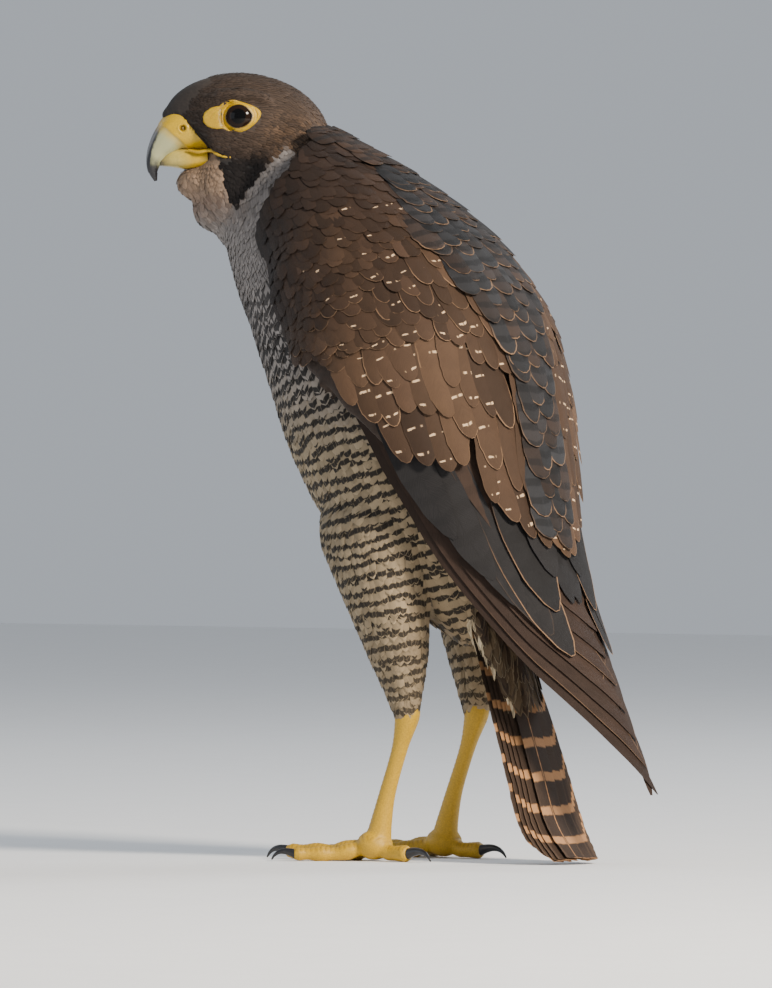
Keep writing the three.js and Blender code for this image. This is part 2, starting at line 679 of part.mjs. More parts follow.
// A tail feather or covert, from and to along the middle line, across and lifted at its root and tip
function tailVane({ from, to, x, half, lift, outline }) {
  return vane(outline, (share, c, up) => {
    const across = mix(x[0], x[1], share) + c * half;
    return tailPoint(mix(from, to, share), across, mix(lift[0], lift[1], share) + up);
  });
}

// The folded fan: the middle pair on top, each next pair one layer lower and farther out
function rectrices() {
  return SIDES.flatMap(([, side]) =>
    steps(TAIL_PAIRS - 1).map((_, k) => {
      const layer = k === 0 ? (side === LEFT ? 0 : 1) : k + 1;
      const tip = k === 0 ? TAIL_VANE.middle : TAIL_VANE.tip[0] + TAIL_VANE.tip[1] * k;
      return tailVane({
        from: TAIL_VANE.from,
        to: TAIL_LONG - TAIL_VANE.shorten * k * k,
        x: [side * (TAIL_VANE.root[0] + TAIL_VANE.root[1] * k), side * tip],
        half: TAIL_VANE.half,
        lift: TAIL_VANE.lift.map((lift) => lift - TAIL_LAYER * layer),
        outline: ROUNDED,
      });
    }),
  );
}

// Coverts over and under the tail's root, the middle one outermost
function tailCoverts({ pairs, reach, lift, spread, layer }) {
  return steps(2 * pairs).map((s) => {
    const place = 2 * s - 1;
    const lower = Math.abs(place) * pairs * layer;
    return tailVane({
      from: COVERT.from,
      to: reach - COVERT.shorten * Math.abs(place),
      x: [place * spread * 0.5, place * spread],
      half: COVERT.half,
      lift: lift.map((value) => value - lower),
      outline: BLUNT,
    });
  });
}

function tailRoot() {
  const { start, end, wide, thick, taper, sides } = TAIL_ROOT;
  const rings = steps(TAIL_ROOT.steps).map((share) => {
    const size = Math.sqrt(1 - taper * share * share);
    return Array.from({ length: sides }, (_, j) => {
      const angle = (2 * Math.PI * j) / sides;
      return tailPoint(mix(start, end, share), wide * Math.cos(angle), thick * size * Math.sin(angle) - 1);
    });
  });
  return throughRings(rings);
}

function tailSolid(away) {
  const coverts = [...tailCoverts(UNDER_TAIL), ...tailCoverts(OVER_TAIL)];
  const whole = join([tailRoot(), ...rectrices(), ...coverts]).trimByPlane([0, 0, 1], 0);
  return largest(whole.subtract(away));
}

// A mesh with plain looks from a solid
function meshOf(name, solid, colour, roughness) {
  const made = solid.getMesh();
  const geometry = new THREE.BufferGeometry()
    .setAttribute("position", new THREE.BufferAttribute(made.vertProperties, 3))
    .setIndex(new THREE.BufferAttribute(made.triVerts, 1));
  geometry.computeVertexNormals();
  const material = new THREE.MeshStandardMaterial({ color: colour, roughness, metalness: 0 });
  const mesh = new THREE.Mesh(geometry, material);
  mesh.name = name;
  return mesh;
}

const LOOKS = {
  hood: [0x3b3330, 0.85],
  breast: [0xb7ab97, 0.9],
  wing: [0x5b4636, 0.8],
  tail: [0x55433a, 0.8],
  bare: [0xd9b13c, 0.5],
  bill: [0x8f958c, 0.35],
  eye: [0x0c0908, 0.05],
  claw: [0x17161a, 0.35],
};

function falcon() {
  const bird = new THREE.Group();
  const body = new THREE.Group();
  const headGroup = new THREE.Group();
  headGroup.position.set(...HEAD_AT);
  headGroup.rotation.z = radians(HEAD_TURN - 90);
  body.position.set(...FRAME_SHIFT);
  body.add(headGroup);
  bird.add(body);

  const parts = headParts();
  headGroup.add(meshOf("head", parts.head, ...LOOKS.hood));
  headGroup.add(meshOf("cere", parts.cere, ...LOOKS.bare));
  headGroup.add(meshOf("bill_upper", parts.bill_upper, ...LOOKS.bill));
  headGroup.add(meshOf("bill_lower", parts.bill_lower, ...LOOKS.bill));
  SIDES.forEach(([name], i) => headGroup.add(meshOf("eye_" + name, parts.eyes[i], ...LOOKS.eye)));

  const turned = (solid) => solid.rotate([0, 0, HEAD_TURN - 90]).translate(HEAD_AT);
  const headAway = turned(join([headForm(GAP), throatForm(GAP), chinForm(GAP)]));
  const flesh = join([trunkForm(), mantle()]).subtract(headAway);
  const lean = radians(NECK_CUT.lean);
  const toNeck = [0, -Math.cos(lean), Math.sin(lean)];
  const cut = toNeck[1] * NECK_CUT.y + toNeck[2] * NECK_CUT.z;
  body.add(meshOf("neck", largest(flesh.trimByPlane(toNeck, cut + GAP / 2)), ...LOOKS.hood));
  const fromNeck = toNeck.map((n) => -n);
  body.add(meshOf("torso", largest(flesh.trimByPlane(fromNeck, -cut + GAP / 2)), ...LOOKS.breast));

  const trunkGrown = join([trunkForm(GAP), mantle(1.4 * GAP)]);
  const thighsGrown = join(SIDES.map(([, side]) => limb(THIGH, side, GAP)));
  const tailAway = join([trunkGrown, thighsGrown]);
  body.add(meshOf("tail", tailSolid(tailAway), ...LOOKS.tail));
  for (const [name, side] of SIDES) {
    const away = join([trunkGrown, thighsGrown, headAway]);
    body.add(meshOf("wing_" + name, wing(side, away), ...LOOKS.wing));
    const leg = legParts(side, trunkGrown);
    body.add(meshOf("thigh_" + name, leg.thigh, ...LOOKS.breast));
    body.add(meshOf("shank_" + name, leg.shank, ...LOOKS.bare));
    body.add(meshOf("foot_" + name, leg.foot, ...LOOKS.bare));
    leg.claws.forEach((claw, i) => body.add(meshOf(`claw_${name}_${TOES[i].name}`, claw, ...LOOKS.claw)));
  }
  return bird;
}

export default falcon();
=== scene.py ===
"""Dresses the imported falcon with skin, feathers in tiers, eyes, bill and feet, on a pale floor."""

import math

import bpy
import numpy as np
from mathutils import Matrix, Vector
from mathutils.bvhtree import BVHTree


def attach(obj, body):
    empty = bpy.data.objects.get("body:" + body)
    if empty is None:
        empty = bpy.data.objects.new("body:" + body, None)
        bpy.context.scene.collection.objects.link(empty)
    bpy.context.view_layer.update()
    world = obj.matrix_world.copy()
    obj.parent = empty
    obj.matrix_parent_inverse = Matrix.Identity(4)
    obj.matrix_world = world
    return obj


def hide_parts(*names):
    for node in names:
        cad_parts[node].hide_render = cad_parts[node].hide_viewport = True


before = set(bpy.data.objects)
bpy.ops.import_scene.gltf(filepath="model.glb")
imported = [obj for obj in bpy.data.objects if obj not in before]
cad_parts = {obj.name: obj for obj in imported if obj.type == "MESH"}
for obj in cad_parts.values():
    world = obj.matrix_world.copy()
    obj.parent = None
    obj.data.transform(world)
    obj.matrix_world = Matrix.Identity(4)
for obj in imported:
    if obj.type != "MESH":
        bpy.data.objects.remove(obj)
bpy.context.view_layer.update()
MM = 0.001
SHIFT = np.array([0.0, 4.3, 0.0])  # from the bird's midline frame to the row frame, in mm
UP = np.array([0, 0, 1.0])
LEFT, RIGHT = 1, -1
SIDES = {LEFT: "left", RIGHT: "right"}
draw = np.random.default_rng(7)

# The photograph's frame, in pixels, and the millimetres that a pixel covers at the bird
PHOTO_WIDE, PHOTO_TALL = 772, 988
MM_A_PIXEL = 0.46
FLOOR_PIXEL, MIDLINE_PIXEL = 860, 430
VIEW_AZIMUTH, VIEW_ELEVATION, VIEW_DISTANCE = 128.0, 0.6, 6000.0
SENSOR = 36  # width of the camera's sensor in mm

# The forms under the feathers, in the same sizes as the solids
# Trunk stations: y, z, half width, depth to the back, depth to the belly
TRUNK = [
    (-104, 330, 20, 37, 18),
    (-92, 303, 28, 45, 28),
    (-73, 279, 41, 50, 37),
    (-48, 255, 54, 52, 47),
    (-26, 230, 60, 52, 56),
    (-9, 201, 60, 50, 59),
    (5, 171, 54, 43, 55),
    (17, 143, 42, 33, 41),
    (28, 119, 28, 21, 27),
    (34, 103, 15, 10, 14),
]
# Shell that the folded wings lie on: ridge y, z, half width, height, lower edge of the wing in degrees
SHELL = [
    (-46, 330, 42, 38, 106),
    (-17, 315, 56, 48, 116),
    (20, 289, 67, 57, 112),
    (47, 257, 72, 61, 100),
    (60, 222, 72, 62, 88),
    (67, 188, 66, 57, 72),
    (74, 153, 54, 46, 64),
    (86, 119.5, 41, 34, 64),
    (102, 89, 30, 25, 60),
    (118, 59, 19, 16, 60),
    (134, 30, 11, 9, 60),
]
# Head stations, in its own frame: x to the bill, top, bottom, half width
HEAD_AT = np.array([4.0, -102.0, 340.0])
HEAD_TURN = 48
HEAD = [
    (-37, -2, -15, 7),
    (-33, 6, -20, 14),
    (-24, 15, -24, 20.5),
    (-12, 21, -26, 23.5),
    (2, 24, -26, 24),
    (14, 23.6, -25, 22),
    (25, 21, -23.5, 16.8),
    (33, 17, -21, 12),
    (39, 11.5, -17, 9),
    (42, 5, -12, 6.5),
]
THROAT = [(4, -13.5, 19), (6.5, -21.2, 21.5), (7, -30, 23), (1.5, -40, 22.5), (-3, -51, 21), (-7, -64, 15)]
# Swellings in the head's frame: middle, and half sizes along, across and up
CHIN = ((22.4, 0, -27.8), (12.6, 11.0, 8.4))
GULAR = ((15.0, 0, -39.6), (12.2, 11.5, 11.0))
FOREHEAD = ((35.0, 0, 3.6), (7.4, 6.2, 4.9))
EYE = np.array([7.4, 15.8, 2.4])
EYE_RADIUS = 8.5
EYE_OUT = np.array([0.34, 1.0, 0.05]) / np.linalg.norm([0.34, 1.0, 0.05])
# Brow stations: x, y, z, radius
BROW = [(25, 12, 10.5, 1), (18, 17.4, 12.6, 2.1), (9, 20.4, 13.4, 2.4), (0, 21.8, 12.2, 2), (-6, 22, 9.8, 1)]
# Bill stations: x, z, half height, half width, pitch in degrees
BILL = [
    (20, -2, 10.5, 13, -8),
    (30, -2.6, 10, 10.6, -11),
    (36.5, -4.2, 8.7, 8.9, -17),
    (40.9, -8.2, 7.2, 7.2, -24),
    (44, -12.6, 5.1, 5.3, -42),
    (45.8, -17.9, 3.5, 3.5, -68),
    (46.2, -22.8, 2.1, 2, -88),
    (45, -27, 0.6, 0.6, -104),
]
LOWER_BILL = [
    (22, -16, 5.2, 9.4, -2),
    (31, -16.5, 5, 7.6, -2),
    (38, -16.6, 3.9, 5.6, -2),
    (43, -17.8, 2.2, 3.2, 4),
]
FACE_EDGE = (36.3, 3.0, 43.0)  # a point on the slanted plane where the feathers end, and its slant
CERE_EDGE = (37.4, -6.0, 50.0)  # the same where the bare cere ends and the bill begins
NOSTRIL = np.array([33.8, 9.6, -2.6])
# Leg stations: x, y, z, half width, half depth
THIGH = [
    (26, -4, 176, 20, 30),
    (33, -5, 152, 23, 32),
    (33, 0, 124, 20, 24.5),
    (30, 4, 98, 14.5, 18),
    (27, 6, 76, 9.5, 11),
    (26, 7, 63, 6.4, 7.2),
]
# Tail: its middle line y, z from the rump to the floor
TAIL_LINE = [(24, 142), (39, 110), (53, 76), (65, 42), (74, 17), (89, -2.8)]

# How deep the skin lies under the coat's outline, by form, and the size of the voxels that join its forms
DEPTH = {"trunk": 2.6, "throat": 2.0, "head": 1.2, "thigh": 3.0, "wing": 1.4}
SKIN_VOXEL, FOOT_VOXEL = 1.5, 0.62

# Colours, linear light
HOOD = (0.05, 0.034, 0.025)
HOOD_WARM = (0.14, 0.085, 0.05)
HOOD_DARK = (0.007, 0.0055, 0.0055)
THROAT_BUFF = (0.24, 0.155, 0.095)
# painted shade: the throat's brown patch below, and the white breast and buff belly darkened as in shade
THROAT_SHADE = (0.09, 0.045, 0.03)
BREAST = (0.2, 0.178, 0.165)
BELLY = (0.23, 0.18, 0.115)
FLANK = (0.3, 0.21, 0.115)
BAR = (0.009, 0.0075, 0.007)
WING = (0.034, 0.0192, 0.0118)
# painted shade of the coverts at the shoulder and front edge
WING_SHADE = (0.0105, 0.0066, 0.0055)
WING_PALE = (0.088, 0.05, 0.027)
SLATE = (0.019, 0.0192, 0.0212)
SLATE_DARK = (0.0135, 0.0125, 0.013)
PRIMARY = (0.028, 0.0165, 0.0115)
FRINGE = (0.21, 0.125, 0.07)
SPOT = (0.6, 0.42, 0.26)
TAIL = (0.036, 0.022, 0.0145)
TAIL_BAR = (0.42, 0.215, 0.095)
VENT = (0.6, 0.48, 0.31)
YELLOW = (0.46, 0.275, 0.0)
YELLOW_PALE = (0.5, 0.33, 0.01)
CERE_YELLOW = (0.48, 0.3, 0.003)
LID_MARGIN = (0.02, 0.012, 0.006)
MANDIBLE = (0.42, 0.33, 0.08)
# painted shade in the nostrils
NOSTRIL_SHADE = (0.03, 0.016, 0.005)
IRIS = (0.014, 0.007, 0.004)
PUPIL = (0.002, 0.0018, 0.002)
CLAW = (0.01, 0.01, 0.012)
HORN_PALE = (0.33, 0.33, 0.18)
HORN_DARK = (0.012, 0.012, 0.015)
LEG_YELLOW = (0.5, 0.29, 0.004)


# Smooth curves through stations, as in the solids
def through(knots, values):
    knots = np.asarray(knots, float)
    values = np.asarray(values, float)
    last = len(knots) - 1
    before = np.maximum(np.arange(last + 1) - 1, 0)
    after = np.minimum(np.arange(last + 1) + 1, last)
    slopes = (values[after] - values[before]) / (knots[after] - knots[before])[:, None]

    def at(t):
        t = np.asarray(t, float)
        i = np.clip(np.searchsorted(knots, t, "right") - 1, 0, last - 1)
        span = (knots[i + 1] - knots[i])[..., None]
        s = np.clip((t - knots[i])[..., None] / span, 0, 1)
        rise = s * s * (3 - 2 * s)
        inside = values[i] * (1 - rise) + values[i + 1] * rise
        inside = inside + s * (1 - s) ** 2 * span * slopes[i] - s * s * (1 - s) * span * slopes[i + 1]
        over = np.where(t < knots[0], t - knots[0], np.where(t > knots[-1], t - knots[-1], 0.0))
        end_slope = np.where((t < knots[0])[..., None], slopes[0], slopes[-1])
        return inside + over[..., None] * end_slope

    return at


def length_knots(stations):
    path = np.array([s[:2] for s in stations], float)
    return np.concatenate([[0], np.cumsum(np.linalg.norm(np.diff(path, axis=0), axis=1))])


def sampled(stations, count):
    """Places spread evenly by number on the curve through the stations."""
    return through(range(len(stations)), stations)(np.linspace(0, len(stations) - 1, count))


def unit(v):
    return v / np.maximum(np.linalg.norm(v, axis=-1, keepdims=True), 1e-9)


def mix(a, b, s):
    return a + (b - a) * s


def smooth(low, high, value):
    s = np.clip((value - low) / (high - low), 0, 1)
    return s * s * (3 - 2 * s)


trunk_knots = length_knots(TRUNK)
trunk = through(trunk_knots, TRUNK)
shell_knots = length_knots(SHELL)
shell = through(shell_knots, SHELL)
head_knots = [s[0] for s in HEAD]
head = through(head_knots, HEAD)
tail_knots = length_knots(TAIL_LINE)
tail = through(tail_knots, TAIL_LINE)
TRUNK_LONG, TAIL_LONG = trunk_knots[-1], tail_knots[-1]


def back_of(curve, t):
    """Unit vector square to a line in the midline plane, on its back or upper side."""
    step = unit(curve(t + 1)[..., :2] - curve(t - 1)[..., :2])
    return np.stack([np.zeros_like(step[..., 0]), -step[..., 1], step[..., 0]], -1)


def trunk_point(t, turn, grow=0.0):
    here = trunk(t)
    back = back_of(trunk, t)
    deep = np.where(np.cos(turn) > 0, here[..., 3], here[..., 4]) + grow
    middle = np.stack([np.zeros_like(here[..., 0]), here[..., 0], here[..., 1]], -1)
    out = middle + back * (deep * np.cos(turn))[..., None]
    out[..., 0] += (here[..., 2] + grow) * np.sin(turn)
    return out


def shell_spot(p, turn):
    here = shell(p)
    angle = np.radians(turn)
    back = back_of(shell, p)
    out = np.stack([here[..., 2] * np.sin(angle), here[..., 0], here[..., 1]], -1)
    return out + back * (here[..., 3] * (np.cos(angle) - 1))[..., None]


def shell_frame(p, turn):
    """Place and outward normal of the shell."""
    along = unit(shell_spot(p + 1, turn) - shell_spot(p - 1, turn))
    around = unit(shell_spot(p, turn + 1) - shell_spot(p, turn - 1))
    return shell_spot(p, turn), unit(np.cross(around, along))


def core_lift(p):
    return -0.4 - 0.02 * p


def turned(degrees):
    """Matrix of a turn about the upright axis."""
    c, s = math.cos(math.radians(degrees)), math.sin(math.radians(degrees))
    return np.array([[c, -s, 0], [s, c, 0], [0, 0, 1]])


HEAD_SPIN = turned(HEAD_TURN - 90)


def to_row(points):
    """From the head's own frame to the bird's midline frame."""
    return points @ HEAD_SPIN.T + HEAD_AT


def to_head(points):
    return (points - HEAD_AT) @ HEAD_SPIN


# Meshes from arrays, in mm in the bird's midline frame
def mesh_object(name, verts, quads):
    mesh = bpy.data.meshes.new(name)
    mesh.vertices.add(len(verts))
    mesh.vertices.foreach_set("co", ((verts + SHIFT) * MM).astype(np.float32).ravel())
    mesh.loops.add(quads.size)
    mesh.loops.foreach_set("vertex_index", quads.astype(np.int32).ravel())
    mesh.polygons.add(len(quads))
    sides = quads.shape[1]
    mesh.polygons.foreach_set("loop_start", np.arange(0, quads.size, sides, dtype=np.int32))
    mesh.polygons.foreach_set("loop_total", np.full(len(quads), sides, dtype=np.int32))
    mesh.polygons.foreach_set("use_smooth", np.ones(len(quads), bool))
    mesh.update(calc_edges=True)
    mesh.validate()
    made = bpy.data.objects.new(name, mesh)
    bpy.context.scene.collection.objects.link(made)
    return made


def band_faces(rows, count):
    """Quads between neighbouring rings of a grid whose second axis runs round."""
    i, j = np.meshgrid(np.arange(rows - 1), np.arange(count), indexing="ij")
    a, b = i * count + j, i * count + (j + 1) % count
    return np.stack([a, b, b + count, a + count], -1).reshape(-1, 4)


def ring_mesh(rings):
    """Vertices and quads of a tube through rings of points, its ends closed by narrow quads."""
    rings = np.asarray(rings, float)
    middles = rings.mean(1, keepdims=True)
    narrow = middles + (rings - middles) * 0.02
    rings = np.concatenate([narrow[:1], rings, narrow[-1:]])
    quads = band_faces(*rings.shape[:2])
    flat = rings.reshape(-1, 3)
    a, b, c = (flat[quads[:, corner]] for corner in range(3))
    volume = np.einsum("ij,ij->i", a, np.cross(b, c)).sum()
    return flat, quads if volume >= 0 else quads[:, ::-1]


def merged(parts):
    """One vertex and one face array from several."""
    offset = 0
    verts, quads = [], []
    for v, q in parts:
        verts.append(v)
        quads.append(q + offset)
        offset += len(v)
    return np.concatenate(verts), np.concatenate(quads)


def ring_angles(count):
    return np.arange(count) * 2 * math.pi / count


def trunk_mesh(grow):
    t = np.linspace(0, TRUNK_LONG, 48)[:, None]
    turn = ring_angles(72)[None]
    return ring_mesh(trunk_point(t + 0 * turn, turn + 0 * t, grow))


def mantle_mesh():
    p = np.linspace(-5, 196, 40)[:, None]
    across = np.linspace(-1, 1, 15)[None]
    deep = 30 * np.sqrt(1 - 0.9 * np.linspace(0, 1, 40) ** 2)[:, None]
    rings = []
    for lift, spread in ((core_lift(p) * 0.5 - 2.4, 24.0), (core_lift(p) * 0.5 - 2.4 - deep, 36.0)):
        place, normal = shell_frame(p + 0 * across, spread * across + 0 * p)
        rings.append(place + normal * lift[..., None])
    return ring_mesh(np.concatenate([rings[0], rings[1][:, ::-1]], 1))


def wing_core_mesh(side):
    s = np.linspace(0, 1, 40)
    p = mix(-6.0, 203.0, s ** 1.3)
    low = shell(np.maximum(p, 0))[:, 4] - 1
    thick = 16 * np.minimum(0.3 + (p + 7) / 30, 1) * np.sqrt(np.maximum(1 - s * s, 0.02))
    top = mix(22.0, 14.0, smooth(0, 1, s * 3))
    q = np.linspace(0, 1, 24)[None]
    turn = mix(top[:, None], low[:, None], q)
    place, normal = shell_frame(p[:, None] + 0 * q, turn)
    outer = place + normal * (core_lift(p) - DEPTH["wing"])[:, None, None]
    inner = outer - normal * thick[:, None, None]
    rings = np.concatenate([outer, inner[:, ::-1]], 1)
    rings[..., 0] *= side
    return ring_mesh(rings)


def oval(count, power=0.88):
    angle = ring_angles(count)
    c, s = np.cos(angle), np.sin(angle)
    return np.sign(c) * np.abs(c) ** power, np.sign(s) * np.abs(s) ** power


def slant_normal(edge):
    """Normal of a slanted plane of the face, towards the bill's tip."""
    slant = math.radians(edge[2])
    return np.array([math.cos(slant), 0.0, -math.sin(slant)])


def past_edge(local, edge):
    """Millimetres by which places in the head's frame lie beyond a slanted plane of the face."""
    return (local - [edge[0], 0.0, edge[1]]) @ slant_normal(edge)


def head_mesh(grow):
    s = np.linspace(0, 1, 40)
    x = mix(head_knots[0], head_knots[-1], (1 - np.cos(math.pi * s)) / 2)
    here = head(x)
    c, u = oval(56)
    middle = (here[:, 1] + here[:, 2]) / 2
    tall = (here[:, 1] - here[:, 2]) / 2 + grow
    rings = np.stack(
        [
            np.broadcast_to((x + grow * (2 * s - 1))[:, None], (len(x), len(c))),
            (here[:, 3] + grow)[:, None] * c,
            middle[:, None] + tall[:, None] * u,
        ],
        -1,
    )
    over = np.maximum(past_edge(rings, FACE_EDGE) + 0.8, 0)
    return ring_mesh(to_row(rings - over[..., None] * slant_normal(FACE_EDGE)))


def throat_mesh(grow):
    z = np.linspace(-THROAT[0][1], -THROAT[-1][1], 26)
    here = through([-s[1] for s in THROAT], THROAT)(z)
    c, d = oval(40)
    radius = (here[:, 2] + grow)[:, None]
    return ring_mesh(to_row(np.stack([here[:, :1] + radius * c, radius * d, here[:, 1:2] + 0 * c], -1)))


def round_mesh(middle, sizes):
    polar, around = np.linspace(0.05, math.pi - 0.05, 24)[:, None], ring_angles(36)[None]
    across, up = np.sin(polar), np.cos(polar) + 0 * around
    ball = np.stack([across * np.cos(around), across * np.sin(around), up], -1)
    return ring_mesh(np.array(middle) + ball * sizes)


def in_head(mesh):
    verts, quads = mesh
    return to_row(verts), quads


def tube_mesh(path, radii, count=10):
    path = np.asarray(path, float)
    step = unit(np.gradient(path, axis=0))
    side = unit(np.cross(step, [0.05, 0.02, 1.0]))
    up = np.cross(side, step)
    angle = ring_angles(count) + math.pi / count
    out = side[:, None] * np.cos(angle)[None, :, None] + up[:, None] * np.sin(angle)[None, :, None]
    return ring_mesh(path[:, None] + out * np.asarray(radii, float)[:, None, None])


def brow_mesh(side):
    at = sampled(BROW, 14)
    return tube_mesh(to_row(at[:, :3] * [1, side, 1]), at[:, 3])


def limb_mesh(stations, side, grow, count=40, rows=36):
    here = sampled(stations, rows)
    angle = ring_angles(count)
    x = side * (here[:, :1] + (here[:, 3:4] + grow) * np.cos(angle))
    y = here[:, 1:2] + (here[:, 4:5] + grow) * np.sin(angle)
    return ring_mesh(np.stack([x, y, here[:, 2:3] + 0 * x], -1))


def tail_point(s, x, lift):
    here = tail(s)
    place = np.stack([x + 0 * here[..., 0], here[..., 0], here[..., 1]], -1)
    return place + back_of(tail, s) * np.asarray(lift)[..., None]


def tail_root_mesh():
    share = np.linspace(0, 1, 14)[:, None]
    angle = ring_angles(32)[None]
    s = mix(4, 54, share)
    size = np.sqrt(1 - share * share * 0.75)
    return ring_mesh(tail_point(s + 0 * angle, 15.5 * size * np.cos(angle), 6.5 * size * np.sin(angle) - 1))


def read(items, name, width=1, kind=np.float32):
    """One property of all of a mesh's items, as rows of the given width."""
    values = np.zeros(len(items) * width, kind)
    items.foreach_get(name, values)
    return values.reshape(-1, width) if width > 1 else values


def points_of(made):
    verts = made.data.vertices
    return read(verts, "co", 3).astype(float) / MM - SHIFT, read(verts, "normal", 3).astype(float)


def set_points(made, points):
    made.data.vertices.foreach_set("co", ((points + SHIFT) * MM).astype(np.float32).ravel())
    made.data.update()


def voxel_skin(name, parts, voxel, rounds):
    """One smooth closed skin round overlapping closed forms."""
    verts, quads = merged(parts)
    made = mesh_object(name, verts, quads)
    remesh = made.modifiers.new("skin", "REMESH")
    remesh.mode = "VOXEL"
    remesh.voxel_size = voxel
    soften = made.modifiers.new("soften", "SMOOTH")
    soften.factor = 0.6
    soften.iterations = rounds
    depsgraph = bpy.context.evaluated_depsgraph_get()
    mesh = bpy.data.meshes.new_from_object(made.evaluated_get(depsgraph))
    mesh.name = name
    made.modifiers.clear()
    made.data = mesh
    mesh.polygons.foreach_set("use_smooth", np.ones(len(mesh.polygons), bool))
    return made


def skin_forms():
    """The closed forms that the skin joins, by group."""
    swellings = [in_head(round_mesh(*form)) for form in (CHIN, GULAR)]
    return {
        "body": [trunk_mesh(-DEPTH["trunk"]), throat_mesh(-DEPTH["throat"]), *swellings],
        "head": [head_mesh(-DEPTH["head"]), *map(brow_mesh, SIDES), in_head(round_mesh(*FOREHEAD))],
        "wing": [*map(wing_core_mesh, SIDES), mantle_mesh()],
        "leg": [limb_mesh(THIGH, side, -DEPTH["thigh"]) for side in SIDES],
        "tail": [tail_root_mesh()],
    }


def make_skin():
    parts = [form for group in skin_forms().values() for form in group]
    made = voxel_skin("skin", parts, SKIN_VOXEL * MM, 8)
    local = to_head(points_of(made)[0])
    radius, theta, outward = in_eye_plane(local)
    rim = 6.7 + 2.1 * smooth(0.2, 0.7, np.cos(theta))
    sink = SOCKET * smooth(0.0, -1.7, radius - rim) * (outward > 0)
    way = EYE_OUT * np.stack([np.ones(len(local)), np.sign(local[:, 1]), np.ones(len(local))], 1)
    set_points(made, to_row(local - way * sink[:, None]))
    return made


# Feathers: closed thin vanes, many at once
OUTLINES = {
    "leaf": [[0, 0.5], [0.35, 0.9], [0.6, 1.0], [0.8, 0.88], [0.92, 0.66], [0.98, 0.38], [1, 0.12]],
    "round": [[0, 0.45], [0.35, 0.95], [0.65, 1.0], [0.85, 0.8], [0.96, 0.42], [1, 0.1]],
    "point": [[0, 0.6], [0.4, 1.0], [0.7, 0.92], [0.88, 0.6], [0.97, 0.28], [1, 0.08]],
    "square": [[0, 0.6], [0.4, 1.0], [0.86, 1.0], [0.96, 0.82], [0.99, 0.5], [1, 0.2]],
}


def grid_faces(rows, cols):
    """Quads of a lens: two sheets that share their outline, and the outline's vertex marks."""
    top = np.arange(rows * cols).reshape(rows, cols)
    inner = np.zeros((rows, cols), bool)
    inner[1:-1, 1:-1] = True
    low = top.copy()
    low[inner] = rows * cols + np.arange(inner.sum())
    quads = []
    for grid, flip in ((top, False), (low, True)):
        corners = [grid[:-1, :-1], grid[:-1, 1:], grid[1:, 1:], grid[1:, :-1]]
        if flip:
            corners = corners[::-1]
        quads.append(np.stack(corners, -1).reshape(-1, 4))
    return np.concatenate(quads), inner


def shares(rows):
    """Shares of a vane's length at its rows, closer together near the tip."""
    s = np.linspace(0, 1, rows)
    return s * (1.6 - 0.6 * s)


class Coat:
    """Collects vanes for one piece: places, faces, vane coordinates, roots, outlines and colours."""

    def __init__(self, name, cell=0.003):
        self.name, self.cell = name, cell
        self.parts, self.count = [], 0

    def add(
        self, path, normal, half, shape, look, cols=5, thick=0.3, curl=0.12, sweep=0.3, roll=0.0, ragged=0.0
    ):
        """path and normal are N x rows x 3, half is N, look is a dictionary of N x k arrays."""
        number, rows = path.shape[:2]
        v, u = shares(rows), np.linspace(-1, 1, cols)
        along = unit(np.gradient(path, axis=1))
        side = unit(np.cross(normal, along))
        normal = unit(np.cross(along, side))
        wide = half[:, None] * np.interp(v, *zip(*OUTLINES[shape]))
        if ragged:
            wide = wide * (1 + ragged * draw.uniform(-1, 0.4, wide.shape))
        off = wide[:, :, None] * u
        ahead = np.abs(off) * sweep * np.sin(np.pi * np.clip(v, 0.02, 0.98))[None, :, None]
        sink = curl * wide[:, :, None] * u * u - np.asarray(roll).reshape(-1, 1, 1) * off
        top = path[:, :, None] + side[:, :, None] * off[..., None] + along[:, :, None] * ahead[..., None]
        top = top - normal[:, :, None] * sink[..., None]
        quads, inner = grid_faces(rows, cols)
        belly = top - normal[:, :, None] * thick
        verts = np.concatenate([top.reshape(number, -1, 3), belly[:, inner]], 1)
        vane = np.stack(np.meshgrid(u, v), -1)
        vane = np.concatenate([vane.reshape(-1, 2), vane[inner]])
        outline = np.concatenate([~inner.ravel(), np.zeros(inner.sum(), bool)])
        each = verts.shape[1]
        faces = quads[None] + (np.arange(number) * each)[:, None, None] + self.count
        self.count += number * each
        seed = draw.uniform(0, 1, (number, 3))
        seed[:, 1] = look.pop("Phase", draw.uniform(0, 0.35, number))
        long = np.linalg.norm(np.diff(path, axis=1), axis=2).sum(1)
        span = np.stack([half, long, look.pop("Soft", np.ones(number))], 1)
        looks = {**look, "Span": span, "Seed": seed, "Root": path[:, 0]}
        part = {name: np.repeat(values, each, axis=0) for name, values in looks.items()}
        part.update(Verts=verts.reshape(-1, 3), Faces=faces.reshape(-1, 4))
        part.update(Vane=np.tile(vane, (number, 1)), Outline=np.tile(outline, number))
        self.parts.append(part)

    def build(self, material):
        whole = {name: np.concatenate([part[name] for part in self.parts]) for name in self.parts[0]}
        verts, faces, vane, outline, root = map(whole.pop, ("Verts", "Faces", "Vane", "Outline", "Root"))
        made = dress(mesh_object(self.name, verts, faces), material, **whole)
        sharp = made.data.attributes.new("sharp_edge", "BOOLEAN", "EDGE")
        ends = read(made.data.edges, "vertices", 2, np.int32)
        sharp.data.foreach_set("value", outline[ends].all(1))
        write_uv(made.data, "Vane", vane * [0.5, 1.0] + [0.5, 0])
        write_uv(made.data, "OFBake", unwrap(root) + (vane * [0.5, 1.0] - [0, 0.5]) * self.cell)
        return made


def write_uv(mesh, name, values):
    """A UV map from values at the vertices."""
    layer = mesh.uv_layers.new(name=name)
    corner = read(mesh.loops, "vertex_index", kind=np.int32)
    layer.uv.foreach_set("vector", values[corner].astype(np.float32).ravel())


